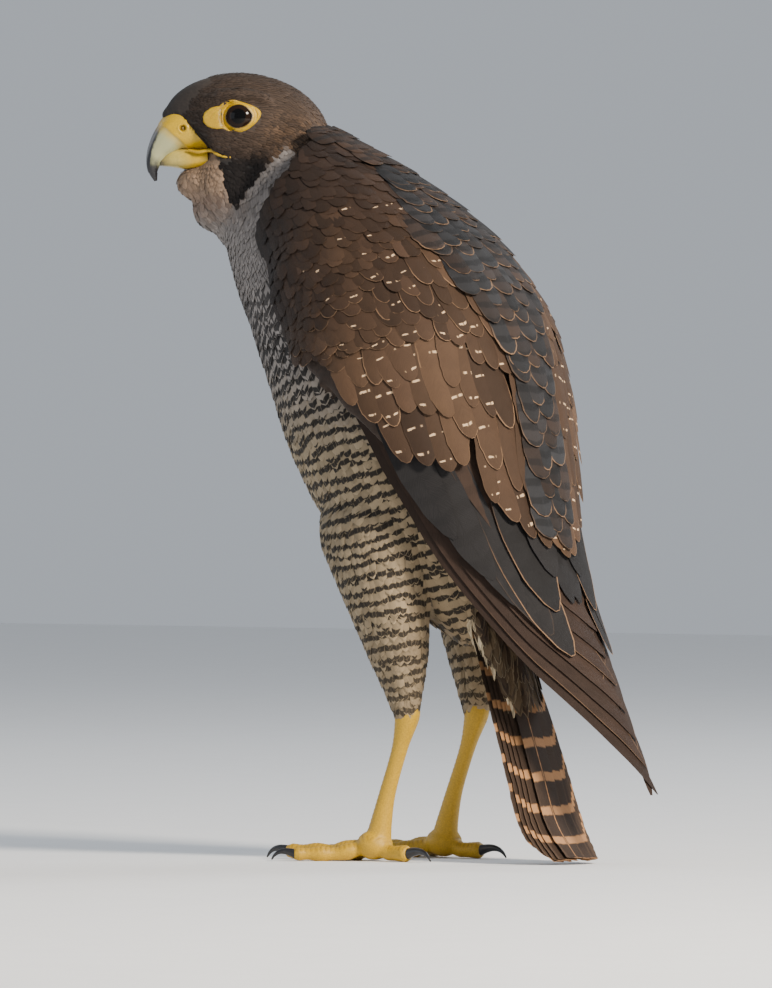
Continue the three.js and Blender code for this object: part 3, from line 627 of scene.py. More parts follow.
def dress(made, material, **looks):
    """Gives an object its material and the attributes that the material reads."""
    for name, values in looks.items():
        kind, field = ("FLOAT_COLOR", "color") if values.shape[1] == 4 else ("FLOAT_VECTOR", "vector")
        layer = made.data.attributes.new(name, kind, "POINT")
        layer.data.foreach_set(field, values.astype(np.float32).ravel())
    made.data.materials.append(material)
    return made


def unwrap(points):
    """Place on an unwrap of the body's own shape: turn round its axis, and height along it."""
    z = points[:, 2]
    middle = np.interp(z, [0, 60, 150, 230, 300, 364], [84, 60, 20, 0, -70, -100])
    turn = np.arctan2(points[:, 0], -(points[:, 1] - middle))
    return np.stack([turn / (2 * math.pi) * 0.96 + 0.5, np.clip(z / 370, 0, 1) * 0.96 + 0.02], -1)


# Node materials
class Value:
    """A socket that can be added, multiplied and so on in a material's node tree."""

    def __init__(self, tree, socket):
        self.tree, self.socket = tree, socket

    def math(self, kind, *others):
        node = self.tree.nodes.new("ShaderNodeMath")
        node.operation = kind
        for slot, value in enumerate((self, *others)):
            plug(self.tree, value, node.inputs[slot])
        return Value(self.tree, node.outputs[0])

    def __add__(self, other):
        return self.math("ADD", other)

    def __sub__(self, other):
        return self.math("SUBTRACT", other)

    def __mul__(self, other):
        return self.math("MULTIPLY", other)

    def __truediv__(self, other):
        return self.math("DIVIDE", other)

    def size(self):
        return self.math("ABSOLUTE")

    def ramp(self, low, high, start=0.0, end=1.0):
        node = self.tree.nodes.new("ShaderNodeMapRange")
        node.interpolation_type = "SMOOTHSTEP"
        for slot, value in enumerate((self, low, high, start, end)):
            plug(self.tree, value, node.inputs[slot])
        return Value(self.tree, node.outputs[0])


def plug(tree, value, socket):
    if isinstance(value, Value):
        tree.links.new(value.socket, socket)
    else:
        socket.default_value = value


def new_material(name, colour, roughness, inputs={}):
    material = bpy.data.materials.new(name)
    material.use_nodes = True
    material.diffuse_color = (*colour, 1)
    shader = material.node_tree.nodes["Principled BSDF"]
    inputs = {"Base Color": (*colour, 1), "Roughness": roughness, **inputs}
    for socket, value in inputs.items():
        shader.inputs[socket].default_value = value
    return material, material.node_tree


def finish(tree, colour, height=None, strength=0.5, distance=0.0004):
    """Links a material's base colour and its bump."""
    shader = tree.nodes["Principled BSDF"]
    tree.links.new(colour, shader.inputs["Base Color"])
    if height is None:
        return
    node = tree.nodes.new("ShaderNodeBump")
    node.inputs["Strength"].default_value = strength
    node.inputs["Distance"].default_value = distance
    tree.links.new(height.socket, node.inputs["Height"])
    tree.links.new(node.outputs[0], shader.inputs["Normal"])


def attribute(tree, name, output="Color"):
    node = tree.nodes.new("ShaderNodeAttribute")
    node.attribute_name = name
    return node.outputs[output]


def parts_of(tree, socket):
    node = tree.nodes.new("ShaderNodeSeparateXYZ")
    tree.links.new(socket, node.inputs[0])
    return [Value(tree, out) for out in node.outputs]


def joined(tree, *values):
    node = tree.nodes.new("ShaderNodeCombineXYZ")
    for slot, value in enumerate(values):
        plug(tree, value, node.inputs[slot])
    return node.outputs[0]


def noise(tree, vector, scale, detail=3.0, rough=0.6):
    node = tree.nodes.new("ShaderNodeTexNoise")
    for name, value in (("Scale", scale), ("Detail", detail), ("Roughness", rough)):
        node.inputs[name].default_value = value
    tree.links.new(vector, node.inputs["Vector"])
    return Value(tree, node.outputs["Fac"])


def blend(tree, share, first, second, kind="MIX"):
    node = tree.nodes.new("ShaderNodeMix")
    node.data_type = "RGBA"
    node.blend_type = kind
    plug(tree, share, node.inputs[0])
    for value, socket in ((first, node.inputs[6]), (second, node.inputs[7])):
        if isinstance(value, tuple):
            socket.default_value = (*value, 1)
        else:
            tree.links.new(value, socket)
    return node.outputs[2]


def shaded(tree, colour, shade):
    """A colour made darker or lighter by a factor."""
    return blend(tree, 1.0, colour, joined(tree, shade, shade, shade), "MULTIPLY")


def texture_place(tree):
    return tree.nodes.new("ShaderNodeTexCoord").outputs["Object"]


def speckled(tree, colour, scale, low, high):
    """A colour with a fine grain between two shades, and the grain itself."""
    fine = noise(tree, texture_place(tree), scale, 4.0)
    return shaded(tree, colour, fine.ramp(0.25, 0.75, low, high)), fine


BARBS = 2.6  # barbs of a vane to a millimetre


def vane_material():
    """Feather: base colour, pale fringe, marks along the vane, dark shaft line, barb texture and painted
    shade towards the root.
    """
    sheen = {"Specular IOR Level": 0.16, "Sheen Weight": 0.02, "Sheen Roughness": 0.5}
    material, tree = new_material("feather", WING, 0.72, sheen)
    uv = tree.nodes.new("ShaderNodeUVMap")
    uv.uv_map = "Vane"
    u, v, _ = parts_of(tree, uv.outputs[0])
    aside = u * 2.0 - 1.0
    across = aside.size()
    seed, shift, tint = parts_of(tree, attribute(tree, "Seed", "Vector"))
    number, inner, band = parts_of(tree, attribute(tree, "Look", "Vector"))
    streak, slope, outer = parts_of(tree, attribute(tree, "Form", "Vector"))
    half, long, soft = parts_of(tree, attribute(tree, "Span", "Vector"))
    place = joined(tree, u * half * 0.8 + seed * 40.0, v * long * 0.5, seed * 30.0)
    ragged = noise(tree, place, 1.0, 2.0) - 0.5
    # Bars and spots: where they lie along the vane, and between which distances from the shaft
    phase = v * number + across * slope + ragged * 1.3 * number / long + shift
    bars = (phase.math("FRACT") - 0.5).size().ramp(band * 0.75, band * 1.25, 1.0, 0.0)
    reach = across + ragged * 0.16
    bars = bars * reach.ramp(inner - 0.08, inner + 0.08) * reach.ramp(outer - 0.08, outer + 0.08, 1.0, 0.0)
    bars = bars * number.ramp(0.2, 0.4)
    # Spots stand on one side of the shaft or on both, bars always on both
    one_side = (aside * (seed - 0.5) * 20.0 + 2.0).ramp(0.0, 1.0)
    bars = bars * one_side.math("MAXIMUM", outer.ramp(0.9, 1.0))
    shaft = (across + ragged * 0.064).ramp(streak * 0.6, streak * 1.2 + 0.01, 1.0, 0.0)
    shaft = shaft * streak.ramp(0.0, 0.02)
    marks = bars.math("MAXIMUM", shaft) * Value(tree, attribute(tree, "Mark", "Alpha"))
    colour = blend(tree, marks, attribute(tree, "Base"), attribute(tree, "Mark"))
    # Millimetres from the outline: the two sides and the tip
    narrow = v.math("POWER", 6.0) * -0.85 + 1.0
    rim = ((across * -1.0 + 1.0) * half * narrow).math("MINIMUM", (v * -1.0 + 1.0) * long)
    wide = Value(tree, attribute(tree, "Edge", "Alpha"))
    rim = rim + ragged * wide * 0.9
    fringe = rim.ramp(wide * 0.45, wide * 1.25, 1.0, 0.0) * wide.ramp(0.0, 0.05) * v.ramp(0.45, 0.85)
    colour = blend(tree, fringe * soft, colour, attribute(tree, "Edge"))
    along_barb = (v * long - across * half * 0.9) * BARBS
    fibres = noise(tree, joined(tree, along_barb, across * half * 0.25, seed * 90.0), 1.0, 3.0, 0.65)
    patch = noise(tree, joined(tree, v * long * 0.12, u * half * 0.15, seed * 50.0), 1.0, 2.0) - 0.5
    shade = (fibres - 0.5) * 0.5 + (tint - 0.5) * 0.24 + patch * 0.35 + 1.0
    # painted shade: each vane is darkened towards its root, where the feathers over it lie
    finish(tree, shaded(tree, colour, shade * v.ramp(0.0, 0.5, 0.72, 1.0)), fibres, 0.35, 0.0006)
    return material


def skin_material():
    """What shows between feathers: the coat's own colours, darker, with the marks as soft mottling."""
    material, tree = new_material("under_coat", WING, 0.85)
    place = texture_place(tree)
    down = noise(tree, place, 420.0, 4.0)
    mottles = noise(tree, place, 160.0, 2.0).ramp(0.5, 0.62)
    marks = mottles * Value(tree, attribute(tree, "Mark", "Alpha")) * 0.6
    colour = blend(tree, marks, attribute(tree, "Base"), attribute(tree, "Mark"))
    finish(tree, shaded(tree, colour, down * 0.7 + 0.4), down, 0.5, 0.001)
    return material


# The bare parts of the face: eyes, their ring of yellow skin, cere, bill and mouth line
LIDS = (8.6, 10.4, 7.2, 7.8)  # how far the bare ring reaches to the front, back, top and bottom, in mm
LOBE = (8.6, 6.5, 4.5)  # the bare patch before the ring: where its middle lies, and its half sizes
SOCKET = 3.4  # how far the skin gives way under an eye's opening
OPENING = (6.35, 6.35, 5.45, 5.45)  # how far what shows of an eye reaches to the front, back, top and bottom
RING_TUCK = 3.0  # how far the ring goes on under the feathers that lie over its front
LID_RISE, LID_WIDE = 0.6, 0.75  # bead of the lids
FOLD_AT, FOLD_WIDE, FOLD_DEEP = 9.0, 0.55, 0.12  # fold between the ring and the patch before it
RING_THICK = 1.1
# Lips: x, y, z and radius, from the bill back
GAPE = [
    (31, 7.8, -12.7, 0.5),
    (27.5, 10, -13.5, 0.8),
    (22, 14, -15, 0.85),
    (17, 17, -15.9, 0.7),
    (12.8, 18.6, -16.3, 0.4),
]


def eye_frame(side):
    """Directions out of the eye, forward and up, in the head's frame."""
    out = EYE_OUT * [1, side, 1]
    ahead = unit(np.array([1.0, 0.0, 0.0]) - out * out[0])
    return out, ahead, np.cross(ahead, out) * side


def round_edge(theta, front, back, top, bottom, powers):
    """Distance to an egg-like outline, theta from the front through the top."""
    c, s = np.cos(theta), np.sin(theta)
    wide = np.where(c > 0, front, back)
    tall = np.where(s > 0, top, bottom)
    power = np.where(c > 0, powers[0], powers[1])
    return ((np.abs(c) / wide) ** power + (np.abs(s) / tall) ** power) ** (-1 / power)


def ring_reach(theta):
    """How far the bare ring shows, and how far it goes on under the feathers before it."""
    turned = theta + 0.16 * np.maximum(-np.cos(theta), 0)
    shown = round_edge(turned, *LIDS, (2.0, 1.6))
    ahead, aside = np.cos(theta + 0.06), np.sin(theta + 0.06)
    middle, long, tall = LOBE
    square = (ahead / long) ** 2 + (aside / tall) ** 2
    root = (middle * ahead / long ** 2) ** 2 - square * ((middle / long) ** 2 - 1)
    lobe = (middle * ahead / long ** 2 + np.sqrt(np.maximum(root, 0))) / square
    shown = np.where((root > 0) & (ahead > 0), np.maximum(shown, lobe), shown)
    return shown, shown + RING_TUCK * np.clip(np.cos(theta - 0.3), 0.12, 1)


def in_eye_plane(local):
    """Distance and angle from the nearer eye's axis, and how far out of its plane, of places on the head."""
    out, ahead, up = eye_frame(LEFT)
    off = local * [1, 0, 1] + np.abs(local) * [0, 1, 0] - EYE
    across, rise = off @ ahead, off @ up
    return np.hypot(across, rise), np.arctan2(rise, across), off @ out


def strip_mesh(grid, under):
    """A closed band from a grid that runs round its second axis, and the same grid sunk by `under`."""
    rows, count = grid.shape[:2]
    below, last = rows * count, (rows - 1) * count
    top = band_faces(rows, count)
    j = np.arange(count)
    b = (j + 1) % count
    inner = np.stack([j, j + below, b + below, b], -1)
    outer = np.stack([j, b, b + below, j + below], -1) + last
    faces = [top, top[:, ::-1] + below, inner, outer]
    return np.concatenate([grid.reshape(-1, 3), under.reshape(-1, 3)]), np.concatenate(faces)


def skin_below(start, way, tree, deepest=30.0):
    """How far out of the eye's plane the skin lies under a grid of places, evened out round the eye."""
    gaps = [[tree.ray_cast(Vector(p), way)[3] or deepest for p in row] for row in start]
    lie = deepest - np.array(gaps)
    for _ in range(3):
        lie = (lie + np.roll(lie, 1, 1) + np.roll(lie, -1, 1)) / 3
    return lie


def make_eye_ring(side, tree, material):
    out, ahead, up = eye_frame(side)
    theta = ring_angles(96)
    share = np.linspace(0, 1, 26)[:, None]
    inner = round_edge(theta, *OPENING, (2.0, 1.8)) - 0.25
    shown, reach = ring_reach(theta)
    radius = mix(inner, reach, share ** 1.25)
    beyond = radius - inner
    flat = radius[..., None] * (np.cos(theta)[None, :, None] * ahead + np.sin(theta)[None, :, None] * up)
    middle = EYE * [1, side, 1]
    lie = skin_below(to_row(middle + flat + out * 30), Vector(HEAD_SPIN @ -out), tree)
    ball = np.sqrt(np.maximum(EYE_RADIUS ** 2 - radius ** 2, 1.0)) + 0.18
    above = 0.55 + 0.25 * smooth(8.0, 10.0, radius)
    depth = mix(ball, lie + above, smooth(0.0, 2.8, beyond))
    depth += LID_RISE * np.exp(-(((beyond - 1.0) / LID_WIDE) ** 2))
    wrinkles = np.sin(theta * 23 + radius * 2.2) * smooth(1.5, 3.5, beyond)
    depth += 0.12 * wrinkles * smooth(0, 1.2, shown - radius)
    fold = np.exp(-(((radius - FOLD_AT) / FOLD_WIDE) ** 2)) * smooth(0.1, 0.6, np.cos(theta))
    depth -= FOLD_DEEP * fold + 1.3 * smooth(-1.4, 0.0, radius - reach)
    place = middle + flat + out * depth[..., None]
    verts, quads = strip_mesh(to_row(place), to_row(place - out * RING_THICK))
    # painted shade: the ring's yellow is darkened in the fold before it
    tone = blend_rows(YELLOW, np.array(YELLOW) * 0.45, fold.ravel())
    tone = blend_rows(tone, LID_MARGIN, smooth(0.55, 0.25, beyond).ravel())
    made = mesh_object("eye_ring_" + SIDES[side], verts, quads[:, ::-side])
    return dress(made, material, Base=rgba(np.tile(tone, (2, 1))))


def make_eye(side, material):
    out, ahead, up = eye_frame(side)
    polar = np.linspace(0.01, math.pi - 0.01, 48)[:, None]
    theta = ring_angles(72)
    around = np.cos(theta)[None, :, None] * ahead + np.sin(theta)[None, :, None] * up
    ball = EYE_RADIUS * (np.sin(polar)[..., None] * around + np.cos(polar)[..., None] * out)
    mesh = ring_mesh(to_row(EYE * [1, side, 1] + ball))
    return dress(mesh_object("eye_globe_" + SIDES[side], *mesh), material)


def bill_rings(stations, rows, count):
    knots = length_knots(stations)
    here = through(knots, stations)(np.linspace(0, knots[-1], rows))
    pitch = np.radians(here[:, 4:5])
    c, u = oval(count)
    tall = here[:, 2:3] * u
    ahead, up = here[:, :1] - np.sin(pitch) * tall, here[:, 1:2] + np.cos(pitch) * tall
    return np.stack([ahead, here[:, 3:4] * c, up], -1)


NOSTRIL_RIM, NOSTRIL_DEEP = 1.75, 1.7
CERE_SWELL = 0.45
# Tooth on the upper bill's edge: its x and z, and how far it hangs below the edge
TOOTH, TOOTH_LONG = np.array([41.3, -17.0]), 1.0


def make_upper_bill(material):
    rings = bill_rings(BILL, 170, 128)
    outward = unit(rings - rings.mean(1, keepdims=True))
    swell = CERE_SWELL * smooth(0.9, -0.7, past_edge(rings, CERE_EDGE))
    ridge = 0.25 * np.exp(-((rings[..., 1] / 1.6) ** 2)) * (outward[..., 2] > 0)
    rings = rings + outward * (swell + ridge)[..., None]
    off = np.hypot(rings[..., 0] - NOSTRIL[0], rings[..., 2] - NOSTRIL[2])
    sink = NOSTRIL_DEEP * smooth(NOSTRIL_RIM, 1.0, off) - 0.35 * np.exp(-(((off - 2.1) / 0.5) ** 2))
    sink -= 1.3 * smooth(0.85, 0.4, off)
    rings[..., 1] -= np.sign(rings[..., 1]) * sink * (np.abs(rings[..., 1]) > 3)
    away = ((rings[..., ::2] - TOOTH) ** 2).sum(-1)
    rings[..., 2] -= TOOTH_LONG * np.exp(-away / 1.8)
    verts, quads = ring_mesh(to_row(rings))
    rows, count = rings.shape[:2]
    along = np.clip((np.arange(rows + 2) - 1) / (rows - 1), 0, 1)[:, None] + np.zeros(count)
    upward = np.zeros((rows + 2, 1)) + oval(count)[1]
    look = np.stack([upward, along, 0 * along], -1).reshape(-1, 3)
    return dress(mesh_object("upper_bill", verts, quads), material, Look=look)


def make_lower_bill(material):
    return dress(mesh_object("lower_bill", *ring_mesh(to_row(bill_rings(LOWER_BILL, 60, 64)))), material)


def make_mouth(tree, material):
    """The yellow lips that carry the mouth line back from the bill."""
    at = sampled(GAPE, 30)
    parts = []
    for side in SIDES:
        path = to_row(at[:, :3] * [1, side, 1])
        lie = np.array([tree.find_nearest(Vector(p))[0] for p in path])
        parts.append(tube_mesh(blend_rows(lie, path, smooth(22.0, 27.0, at[:, 0])), at[:, 3], 16))
    verts, quads = merged(parts)
    return dress(mesh_object("mouth_line", verts, quads), material, Base=rgba(YELLOW, 1.0, len(verts)))


# Colours of the coat by place
def rgba(colour, alpha=1.0, count=None):
    """Rows of colour and alpha, from one colour for all `count` rows or from one a row."""
    colour = np.asarray(colour, float)
    if colour.ndim == 1:
        colour = np.tile(colour, (count, 1))
    return np.concatenate([colour, columns(len(colour), alpha)], 1)


def columns(count, *values):
    """An array with a column for each value; single values are spread over the rows."""
    return np.stack([np.broadcast_to(np.asarray(value, float), (count,)) for value in values], 1)


def blend_rows(first, second, share):
    return np.asarray(first) * (1 - share[:, None]) + np.asarray(second) * share[:, None]


def look_of(count, base, edge, wide, mark, strength, number, inner, band, streak=0.0, slope=0.0, outer=1.5):
    """The shader's inputs for a set of feathers."""
    return {
        "Base": rgba(np.asarray(base) * draw.uniform(0.86, 1.16, (count, 1))),
        "Edge": rgba(edge, wide, count),
        "Mark": rgba(mark, strength, count),
        "Look": columns(count, number, inner, band),
        "Form": columns(count, streak, slope, outer),
    }


# Feathers on the folded wings, the mantle and the tail
def shell_path(p, turn, lift, side):
    """Places and normals over the wing shell, on one side of the bird."""
    place, normal = shell_frame(p, turn)
    flip = np.where(np.reshape(side, (-1, 1, 1)) > 0, 1, [-1, 1, 1])
    return (place + normal * lift[..., None]) * flip, normal * flip


def add_shell_feathers(coat, root, tip, half, lift, fall, shape, look, side, rows=8, bend=0.0, **form):
    """root and tip are N x 2 (p, turn); lift is the tip's height, which falls towards the root by `fall`."""
    s = shares(rows)
    p = root[:, :1] + (tip[:, :1] - root[:, :1]) * s
    turn = root[:, 1:] + (tip[:, 1:] - root[:, 1:]) * s - np.reshape(bend, (-1, 1)) * s ** 6
    height = np.asarray(lift).reshape(-1, 1) - fall * (tip[:, :1] - p)
    path, normal = shell_path(p, turn, height, side)
    coat.add(path, normal, half, shape, look, **form)


def shell_width(p):
    """Millimetres round the shell that one degree of turn covers."""
    return np.linalg.norm(shell_spot(p, 52.0) - shell_spot(p, 50.0), axis=-1) / 2


def low_edge(p):
    return shell(np.asarray(p, float))[..., 4]


def row_of_tips(p, first, last, pitch, shift):
    """Tips along one row, spaced by pitch in mm between two turns, with a little disorder."""
    step = pitch / shell_width(np.asarray(float(p)))
    turns = np.arange(first + shift * step, last, step)
    tips = columns(len(turns), p, turns)
    return tips + draw.uniform(-1, 1, tips.shape) * [pitch * 0.12, step * 0.12]


# Edge of the cape: distance along the shell, and turn
CAPE_EDGE = [(-10, 18), (22, 6), (46, 9), (80, 19), (104, 18), (130, 12), (158, 6), (180, 3), (240, 3)]
# Edge of the coverts over the flight feathers: turn, and distance along the shell
COVERT_EDGE = [(-16, 242), (11, 238), (23, 230), (31, 214), (37, 203), (45, 194), (64, 191), (72, 187)]
COVERT_EDGE += [(80, 178), (90, 146)]


def patchy(p, turn, scale):
    """Slow, even variation between -1 and 1 over the wing's shell."""
    waves = (p / scale + turn / 11, p / scale * 0.43 - turn / 7 + 2, turn / 5 + p / 31)
    return sum(map(np.sin, waves)) / len(waves)


def wing_tone(p, turn):
    """Brown of the coverts, near black with painted shade at the shoulder and front edge, paler and warmer
    along the middle.
    """
    shade = np.clip(1.2 - p / 62, 0, 1) * 0.55 + smooth(84, 104, turn) * smooth(120, 60, p) * 0.5
    pale = smooth(60, 190, p) * 0.3 + 0.3 * patchy(p, turn, 17.0) * smooth(20, 70, p)
    return blend_rows(blend_rows(WING, WING_SHADE, np.clip(shade, 0, 0.9)), WING_PALE, np.clip(pale, 0, 0.6))


def slanted(p, turns):
    """Distance along of a covert row's tips, which slants more the nearer it is to the flight feathers."""
    share = smooth(70, 190, np.asarray(float(p)))
    edge = np.interp(turns, *zip(*COVERT_EDGE))
    return p + share * (edge - 190)


def add_coverts(coat, side, rows_at, length, half, lift, fall, spots, edge, rows, cols, first, disorder):
    """Rows of coverts; spots are the share of feathers that have them and the distance between two."""
    chance, pitch = spots
    for index, p in enumerate(rows_at):
        odd = index % 2
        tips = row_of_tips(p, first, float(low_edge(p)) - 1.5, half * 1.3, 0.5 * odd)
        tips[:, 0] = slanted(p, tips[:, 1]) + draw.uniform(-1, 1, len(tips)) * 2.2 * disorder
        at, turn = tips.T
        count = len(tips)
        lean = draw.uniform(-1, 1, count) * 4.0 * disorder
        reach = np.minimum(draw.uniform(0.9, 1.05, count) * length, at + mix(9, 4, smooth(30, 62, turn)))
        roots = tips - np.stack([reach, lean], 1)
        inner = draw.uniform(0.05, 0.34, count)
        strength = 0.9 * (draw.uniform(0, 1, count) < chance * smooth(14, 60, at) * smooth(88, 66, turn))
        look = look_of(
            count, wing_tone(at, turn), edge, draw.uniform(0.2, 0.55, count), SPOT, strength, length / pitch,
            inner, 0.55 / pitch * draw.uniform(0.7, 1.3, count), slope=0.1, outer=inner + 0.5,
        )
        look["Soft"] = draw.uniform(0.1, 1.0, count) ** 1.6 * smooth(20, 110, at)
        look["Phase"] = 0.5 - (1 - draw.uniform(3.5, 6.5, count) / length) * length / pitch + 8
        look["Base"][:, :3] *= draw.uniform(0.72, 1.3, (count, 1))
        wide = half * draw.uniform(0.85, 1.15, count)
        height = lift + 0.1 * odd + draw.uniform(-0.15, 0.25, count) * disorder
        add_shell_feathers(
            coat, roots, tips, wide, height, fall, "leaf", look, side,
            rows=rows, cols=cols, roll=-side * 0.08, thick=0.2, curl=0.14, ragged=0.07,
        )


def make_wing(side, material):
    """Lesser, middle and greater coverts of one wing."""
    coat = Coat("wing_coat_" + SIDES[side])
    add_coverts(coat, side, np.arange(2, 88, 5.4), 20, 4.4, 1.0, 0.065, (0.14, 20), WING_PALE, 7, 5, 2, 1.5)
    add_coverts(coat, side, np.arange(93, 138, 9.2), 36, 5.4, 0.95, 0.055, (0.4, 17), FRINGE, 11, 7, 6, 1.6)
    add_coverts(coat, side, (150, 169, 190), 62, 6.4, 0.65, 0.04, (0.8, 14), FRINGE, 16, 7, 2, 1.7)
    return coat.build(material)


# Flight feathers of one wing: where each starts and ends, half width, lift of its tip
SECONDARIES = [
    ((138, 70), (226, 60), 8.5, -1.7),
    ((138, 62), (246, 51), 9.0, -1.5),
    ((139, 54), (262, 43), 9.5, -1.3),
    ((140, 44), (276, 34), 10.5, -1.1),
    ((141, 34), (288, 27), 11.5, -0.9),
    ((142, 24), (266, 21), 12.0, -0.5),
    ((142, 12), (250, 12), 10.0, -0.3),
    ((146, 4), (263, 4), 8.0, -0.9),
]
PRIMARY_COUNT = 7
# Distance along the shell and turn where the outermost and the innermost primary start and end
PRIMARY_ROOTS, PRIMARY_TIPS = ((128, 84), (146, 56)), ((360, 44), (276, 6))
FLIGHT_CELL = 0.02  # size of a long feather's place in the bake's map


def make_flight(side, material):
    """Secondaries and primaries of one folded wing."""
    coat = Coat("flight_" + SIDES[side], FLIGHT_CELL)
    roots, tips, halves, lifts = (np.array(column, float) for column in zip(*SECONDARIES))
    number = len(SECONDARIES)
    dark = np.array(SLATE_DARK) * 0.5
    look = look_of(number, SLATE_DARK, FRINGE, 0.5, dark, 0.25, 9.0, 0.0, 0.2, 0.05, 0.25)
    look["Soft"] = np.array([0, 0, 0, 0.1, 0.95, 0.95, 0, 0])
    add_shell_feathers(
        coat, roots, tips, halves, lifts, 0.045, "round", look, side,
        rows=22, cols=9, roll=-side * 0.03, thick=0.4, curl=0.05,
    )
    share = np.linspace(0, 1, PRIMARY_COUNT)
    ends = np.array([PRIMARY_ROOTS, PRIMARY_TIPS], float)
    roots, tips = (mix(first, last, share[:, None]) for first, last in ends)
    dark = np.array(PRIMARY) * 0.6
    look = look_of(PRIMARY_COUNT, PRIMARY, FRINGE, 0.42, dark, 0.3, 14.0, 0.35, 0.2, 0.05, 0.5)
    look["Soft"] = np.where(np.arange(PRIMARY_COUNT) % 3 == 1, 0.45, 0.03)
    lifts = mix(-2.6, -1.9, share) - 0.6 * (side < 0)
    add_shell_feathers(
        coat, roots, tips, mix(8.0, 11.0, share), lifts, 0.028, "point", look, side,
        rows=30, cols=9, roll=-side * 0.05, thick=0.42, curl=0.05, bend=mix(56, 22, share),
    )
    return coat.build(material)


def make_mantle(material):
    """The cape: mantle and scapulars in rows across the ridge from the nape to the rump."""
    coat = Coat("mantle_coat")
    for index, p in enumerate(np.arange(-9, 236, 7.4)):
        grown, odd = smooth(0, 130, p), index % 2
        half, length = mix(4.6, 7.8, grown), mix(18, 38, grown)
        last = np.interp(p, *zip(*CAPE_EDGE))
        step = half * 1.25 / shell_width(np.asarray(p))
        count = max(int(round(2 * last / step)) + 1, 2)
        turns = (np.arange(count) - (count - 1) / 2) * step + (odd - 0.5) * step * 0.5
        tips = columns(count, p, turns) + draw.uniform(-1, 1, (count, 2)) * [3.0, step * 0.16]
        reach = np.minimum(length, tips[:, 0] + 17)
        roots = tips * [1, 0.93] - np.stack([reach, draw.uniform(-3, 3, count)], 1)
        side = np.where(turns < 0, -1, 1)
        lift = 1.3 + 1.4 * smooth(-8, 24, p) - 0.5 * smooth(150, 214, p) + 0.12 * odd
        lift = lift + draw.uniform(-0.1, 0.3, count)
        brown = np.clip(draw.uniform(-0.5, 0.7, count) + 0.9 * smooth(60, -10, tips[:, 0]), 0, 0.9)
        look = look_of(
            count, blend_rows(SLATE, WING, brown), FRINGE, draw.uniform(0.3, 0.75, count),
            np.array(SLATE) * 0.3, 0.6, length / 9.0, 0.0, 0.2, slope=0.3,
        )
        look["Soft"] = draw.uniform(0.1, 0.85, count) * smooth(-5, 70, tips[:, 0])
        look["Base"][:, :3] *= draw.uniform(0.65, 1.25, (count, 1))
        flip = columns(count, 1, side)
        add_shell_feathers(
            coat, roots * flip, tips * flip, half * draw.uniform(0.8, 1.15, count), lift, 0.07, "leaf", look,
            side, rows=10, cols=7, thick=0.22, curl=0.16, ragged=0.08,
        )
    return coat.build(material)


# How far out the middle pair's tips lie, and further pairs' by a first and a repeated step
TAIL_REACH = (3.4, 5.4, 2.4)
TAIL_START, TAIL_HALF = 24, 8.4  # where the tail's feathers start along its line, and their half width
TAIL_BARS, TAIL_BAND = 8.2, 0.13  # bars to a feather, and the half width of one as a share of the pitch


def make_tail(material):
    """Six pairs of feathers under one another, the middle pair on top."""
    coat = Coat("tail_coat", FLIGHT_CELL)
    share = shares(40)
    for index in range(6):
        for side in SIDES:
            layer = index + 1 if index else int(side < 0)
            s = TAIL_START + (TAIL_LONG - 0.6 * index ** 2 - TAIL_START) * share
            reach = TAIL_REACH[1] + TAIL_REACH[2] * index if index else TAIL_REACH[0]
            x = side * mix(2.4 + 1.6 * index, reach, share)
            path = tail_point(s, x, mix(1.9, 2.5, share) - 0.9 * layer)[None]
            clear = 1.0 + 0.4 * (6 - layer) * smooth(0.5, 1.0, share)
            path[..., 2] = np.maximum(path[..., 2], clear)
            look = look_of(1, TAIL, FRINGE, 0.8, TAIL_BAR, 0.85, TAIL_BARS, 0.1, TAIL_BAND, 0.03, 0.1)
            look["Phase"] = 0.3 + draw.uniform(-0.06, 0.06, 1)
            look["Soft"] = np.array([0.15])
            coat.add(
                path, back_of(tail, s)[None], np.array([TAIL_HALF]), "square", look, 9, 0.4, 0.05,
                roll=-side * 0.03, ragged=0.05,
            )
    return coat.build(material)


def make_vent(material):
    """Coverts round the tail's root: pale barred strands below, plain brown ones above."""
    coat = Coat("vent_coat")
    along = shares(8)
    for index, s in enumerate(np.arange(24, 104, 4.6)):
        radius = mix(19.0, 12.0, smooth(30, 104, s))
        pitch = 13 if s < 80 else 17
        for sign in (-1, 1) if s <= 86 else (-1,):
            angle = np.radians(np.arange(-104, 105, pitch) + pitch * 0.5 * (index % 2))
            count = len(angle)
            angle = angle + draw.uniform(-0.1, 0.1, count)
            tip_s = s + draw.uniform(-3, 3, count) - 14 * (1 - np.cos(angle))
            long = draw.uniform(20, 30, count)
            at_s = tip_s[:, None] - long[:, None] * (1 - along)
            deep = mix(8.0, 4.5 if sign > 0 else 6.0, smooth(30, 100, at_s))
            wide = radius * mix(0.9, 1.0, along) + draw.uniform(-1, 1, count)[:, None]
            lift = sign * (deep * np.cos(angle)[:, None] + along * 0.9) - 1
            path = tail_point(at_s, wide * np.sin(angle)[:, None], lift)
            normal = back_of(tail, at_s) * (sign * np.cos(angle))[:, None, None]
            normal[..., 0] += np.sin(angle)[:, None]
            tone = blend_rows(WING if sign > 0 else VENT, FLANK, draw.uniform(0, 0.3, count))
            edge = np.array(VENT) * 1.2
            look = look_of(count, tone, edge, 0.5, BAR, 0.5, long / 11.0, 0.0, 0.12, slope=0.5)
            look["Soft"] = draw.uniform(0.0, 0.2, count)
            coat.add(path, normal, draw.uniform(2.0, 3.6, count), "point", look, 5, 0.14, 0.2, ragged=0.3)
    return coat.build(material)


# The coat of the head, neck, body and legs: feathers that walk over the skin from their roots
BILL_BASE = np.array([44.0, 0.0, -8.0])
TRIES = 4.5  # places tried for each square of the spacing
NEAR_CELLS = [(i, j, k) for i in (-1, 0, 1) for j in (-1, 0, 1) for k in (-1, 0, 1)]


